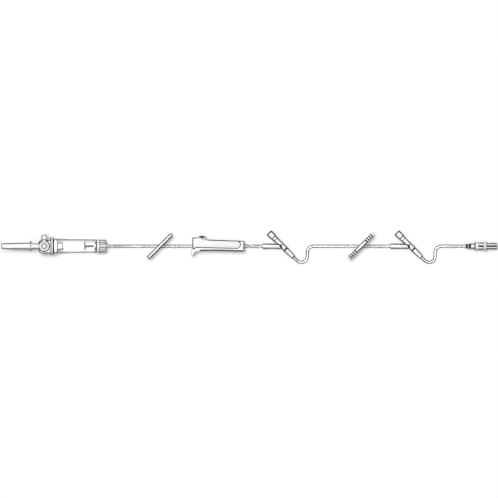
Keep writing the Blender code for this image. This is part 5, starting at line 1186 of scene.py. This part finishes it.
def y_site(number, where):
    """Barrel and inlet arm in one clear moulding, a crimped ring, a septum and a soft outlet sleeve."""
    name = f"y_site_{number}"
    barrel = rounded([
        (-23.9, 0, 0), (-23.9, 3.8, 0.2), (-17.1, 3.8, 0),
        (-17.1, 4.15, 0.15), (-13.2, 4.15, 0.3), (-12.7, 3.8, 0.2),
        (6.0, 3.8, 0.3), (6.0, 2.4, 0), (11.0, 2.4, 0.2), (11.0, 0, 0),
    ])
    body = made(f"{name}_port", [turned(barrel, where, sides=64)])
    arm_frame = placed(where[:, 3], (-1, 0, 0), (0, 0, 1))
    arm = rounded([(0, 0, 0), (0, 3.65, 0), (28.0, 3.65, 0.5), (28.0, 0, 0)])
    merged(body, [made("arm", [turned(arm, arm_frame, sides=60)])], "UNION", arm_frame)
    bore = np.array([(-25, 0), (-25, 2.35), (-19.75, 2.35), (-19.75, 1.5), (12, 1.5), (12, 0)], float)
    inlet = np.array([(0, 0), (0, 1.3), (19, 1.3), (19, 2.25), (29, 2.25), (29, 0)], float)
    tools = [
        made("bore", [turned(bore, where, sides=44)]),
        made("inlet", [turned(inlet, arm_frame, sides=36)]),
    ]
    # Ring lines and the seam round the arm's root are real thin grooves, their faces painted with shade by their cut
    # value.
    for start, end, depth in ((-17.6, -16.8, 3.5), (-13.6, -12.7, 3.5), (5.1, 6.4, 3.4)):
        ring = np.array([(start, depth), (end, depth), (end, 4.6), (start, 4.6)])
        tools.append(made("ring_shade_line", [turned(ring, where, closed=True, sides=73, cut=1.0)]))
    root = np.array([(0.5, 3.45), (10.5, 3.45), (10.5, 4.35), (0.5, 4.35)])
    skin = np.array([(-12.0, 3.3), (4.5, 3.3), (4.5, 4.6), (-12.0, 4.6)])
    seam = made("arm_seam", [turned(root, arm_frame, closed=True, sides=53, cut=1.0)])
    barrel_skin = made("barrel_skin", [turned(skin, where, closed=True, sides=71, cut=1.0)])
    tools.append(merged(seam, [barrel_skin], "INTERSECT", arm_frame))
    merged(body, tools, "DIFFERENCE", arm_frame)
    shown(eased(body, 0.15), CLEAR_PORT, "line", "clear_port", f"{name}_body")

    ring = rounded([
        (-26.9, 2.8, 0.2), (-26.9, 4.55, 0.87), (-17.4, 4.55, 0.35),
        (-17.4, 3.95, 0.1), (-25.9, 3.95, 0), (-25.9, 2.8, 0.1),
    ], closed=True)
    turned_piece(f"{name}_crimp", ring, where, CRIMPED_RING, "line", "port_ring", f"{name}_ring", closed=True)

    septum = rounded([
        (-26.75, 0, 0), (-26.95, 1.6, 0.3), (-26.97, 2.65, 0.15),
        (-25.75, 2.65, 0), (-25.75, 3.8, 0.1), (-24.05, 3.8, 0.1),
        (-24.05, 2.2, 0), (-20.05, 2.2, 0.2), (-20.05, 0, 0),
    ])
    turned_piece(
        f"{name}_rubber", septum, where, SEPTUM_RUBBER, "line", "septum_rubber", f"{name}_septum", sides=64,
    )

    sleeve = rounded([
        (6.15, 2.55, 0.1), (6.15, 3.8, 0.35), (11.65, 3.6, 0), (21.8, 3.0, 0.4),
        (21.8, 2.25, 0.1), (12.8, 2.25, 0), (12.8, 2.55, 0),
    ], closed=True)
    turned_piece(
        f"{name}_outlet", sleeve, where, OUTLET_SLEEVE, "line", "soft_sleeve", f"{name}_sleeve", closed=True,
    )


for number, where in enumerate(Y_SITE_FRAMES, 1):
    y_site(number, where)


# Connector


def collar_ridges(x, radius, turn):
    """Six finger grooves near the mouth: depth ((1 + cos(6 t)) / 2)^2, with a ripple cos(36 t) in them, and painted
    shade in them by their groove share.
    """
    outer = np.clip((radius - 4.6) / 0.3, 0, 1) * np.clip((x - 17.0) / 1.0, 0, 1)
    wave = (0.5 + 0.5 * np.cos(6 * turn)) ** 2
    return outer * wave * (0.55 + 0.1 * np.cos(36 * turn)), outer * np.clip(3.5 * wave - 0.4, 0, 1)


def cover_flutes(x, radius, turn):
    """Six long flutes: depth (1 + cos(6 t)) / 2, from the rim to the end, with painted shade in them by their groove
    share.
    """
    outer = np.clip((radius - 3.0) / 0.5, 0, 1) * np.clip((x - 28.0) / 0.6, 0, 1)
    wave = 0.5 + 0.5 * np.cos(6 * turn)
    return 0.8 * outer * wave, outer * np.clip(2.6 * wave - 0.4, 0, 1)


def luer_connector():
    """Tube adaptor, male luer with its tapered tip, turning collar and the fluted cover."""
    where = CONNECTOR_FRAME
    adaptor = rounded([
        (0, 2.25, 0.1), (0, 2.9, 0.3), (1.5, 3.03, 0), (7.0, 3.5, 0.3), (7.0, 2.25, 0.1),
    ], closed=True)
    turned_piece(
        "luer_adaptor", adaptor, where, ADAPTOR_RUBBER, "line", "soft_sleeve", "tube_adaptor", closed=True,
    )
    luer = rounded([
        (7.15, 2.25, 0.1), (7.15, 3.65, 0.35), (12.15, 3.65, 0.35),
        (12.15, 2.3, 0.1), (15.35, 2.3, 0.1), (15.35, 3.0, 0.1),
        (16.55, 2.7, 0.1), (16.55, 2.15, 0.1), (27.55, 1.98, 0.25),
        (27.55, 1.1, 0.1), (11.15, 1.1, 0), (11.15, 2.25, 0),
    ], closed=True)
    turned_piece(
        "luer_body", luer, where, LUER_PORT, "line", "white_moulding", "male_luer", closed=True, sides=64,
    )
    collar = rounded([
        (12.45, 2.6, 0.1), (12.45, 6.0, 0.35), (13.75, 6.0, 0.35),
        (13.75, 5.2, 0.15), (16.9, 5.2, 0), (18.1, 5.2, 0),
        (25.65, 5.2, 0.45), (25.65, 4.0, 0.2), (14.35, 4.0, 0.2), (14.35, 2.6, 0.1),
    ], closed=True)
    turned_piece(
        "luer_lock_collar", collar, where, COLLAR_MOULDING, "collar", "collar_moulding", "luer_collar",
        closed=True, sides=192, carve=collar_ridges,
    )
    cap = rounded([
        (19.95, 2.3, 0.1), (19.95, 3.85, 0.4), (25.95, 3.85, 0),
        (25.95, 7.0, 0.5), (28.15, 7.0, 0.5), (28.15, 4.5, 0.2),
        (29.95, 4.5, 0.8), (32.75, 4.0, 1.5), (35.45, 4.5, 0.8),
        (43.35, 4.5, 0.5), (43.35, 1.0, 0.2), (42.9, 0.0, 0),
    ])
    inside = rounded([(32.65, 0, 0), (32.05, 2.3, 0.2), (19.95, 2.3, 0)])
    profile = np.concatenate([inside, cap[1:]])
    spans = zip(profile, profile[1:])
    fine = [np.linspace(a, b, 6, endpoint=False) if b[0] - a[0] > 2 else a[None] for a, b in spans]
    turned_piece(
        "luer_end_cover", np.concatenate([*fine, profile[-1:]]), where, COVER_MOULDING, "end_cover", "sheath",
        "luer_cover", sides=200, carve=cover_flutes,
    )


luer_connector()

bpy.context.scene.view_settings.view_transform = "Standard"
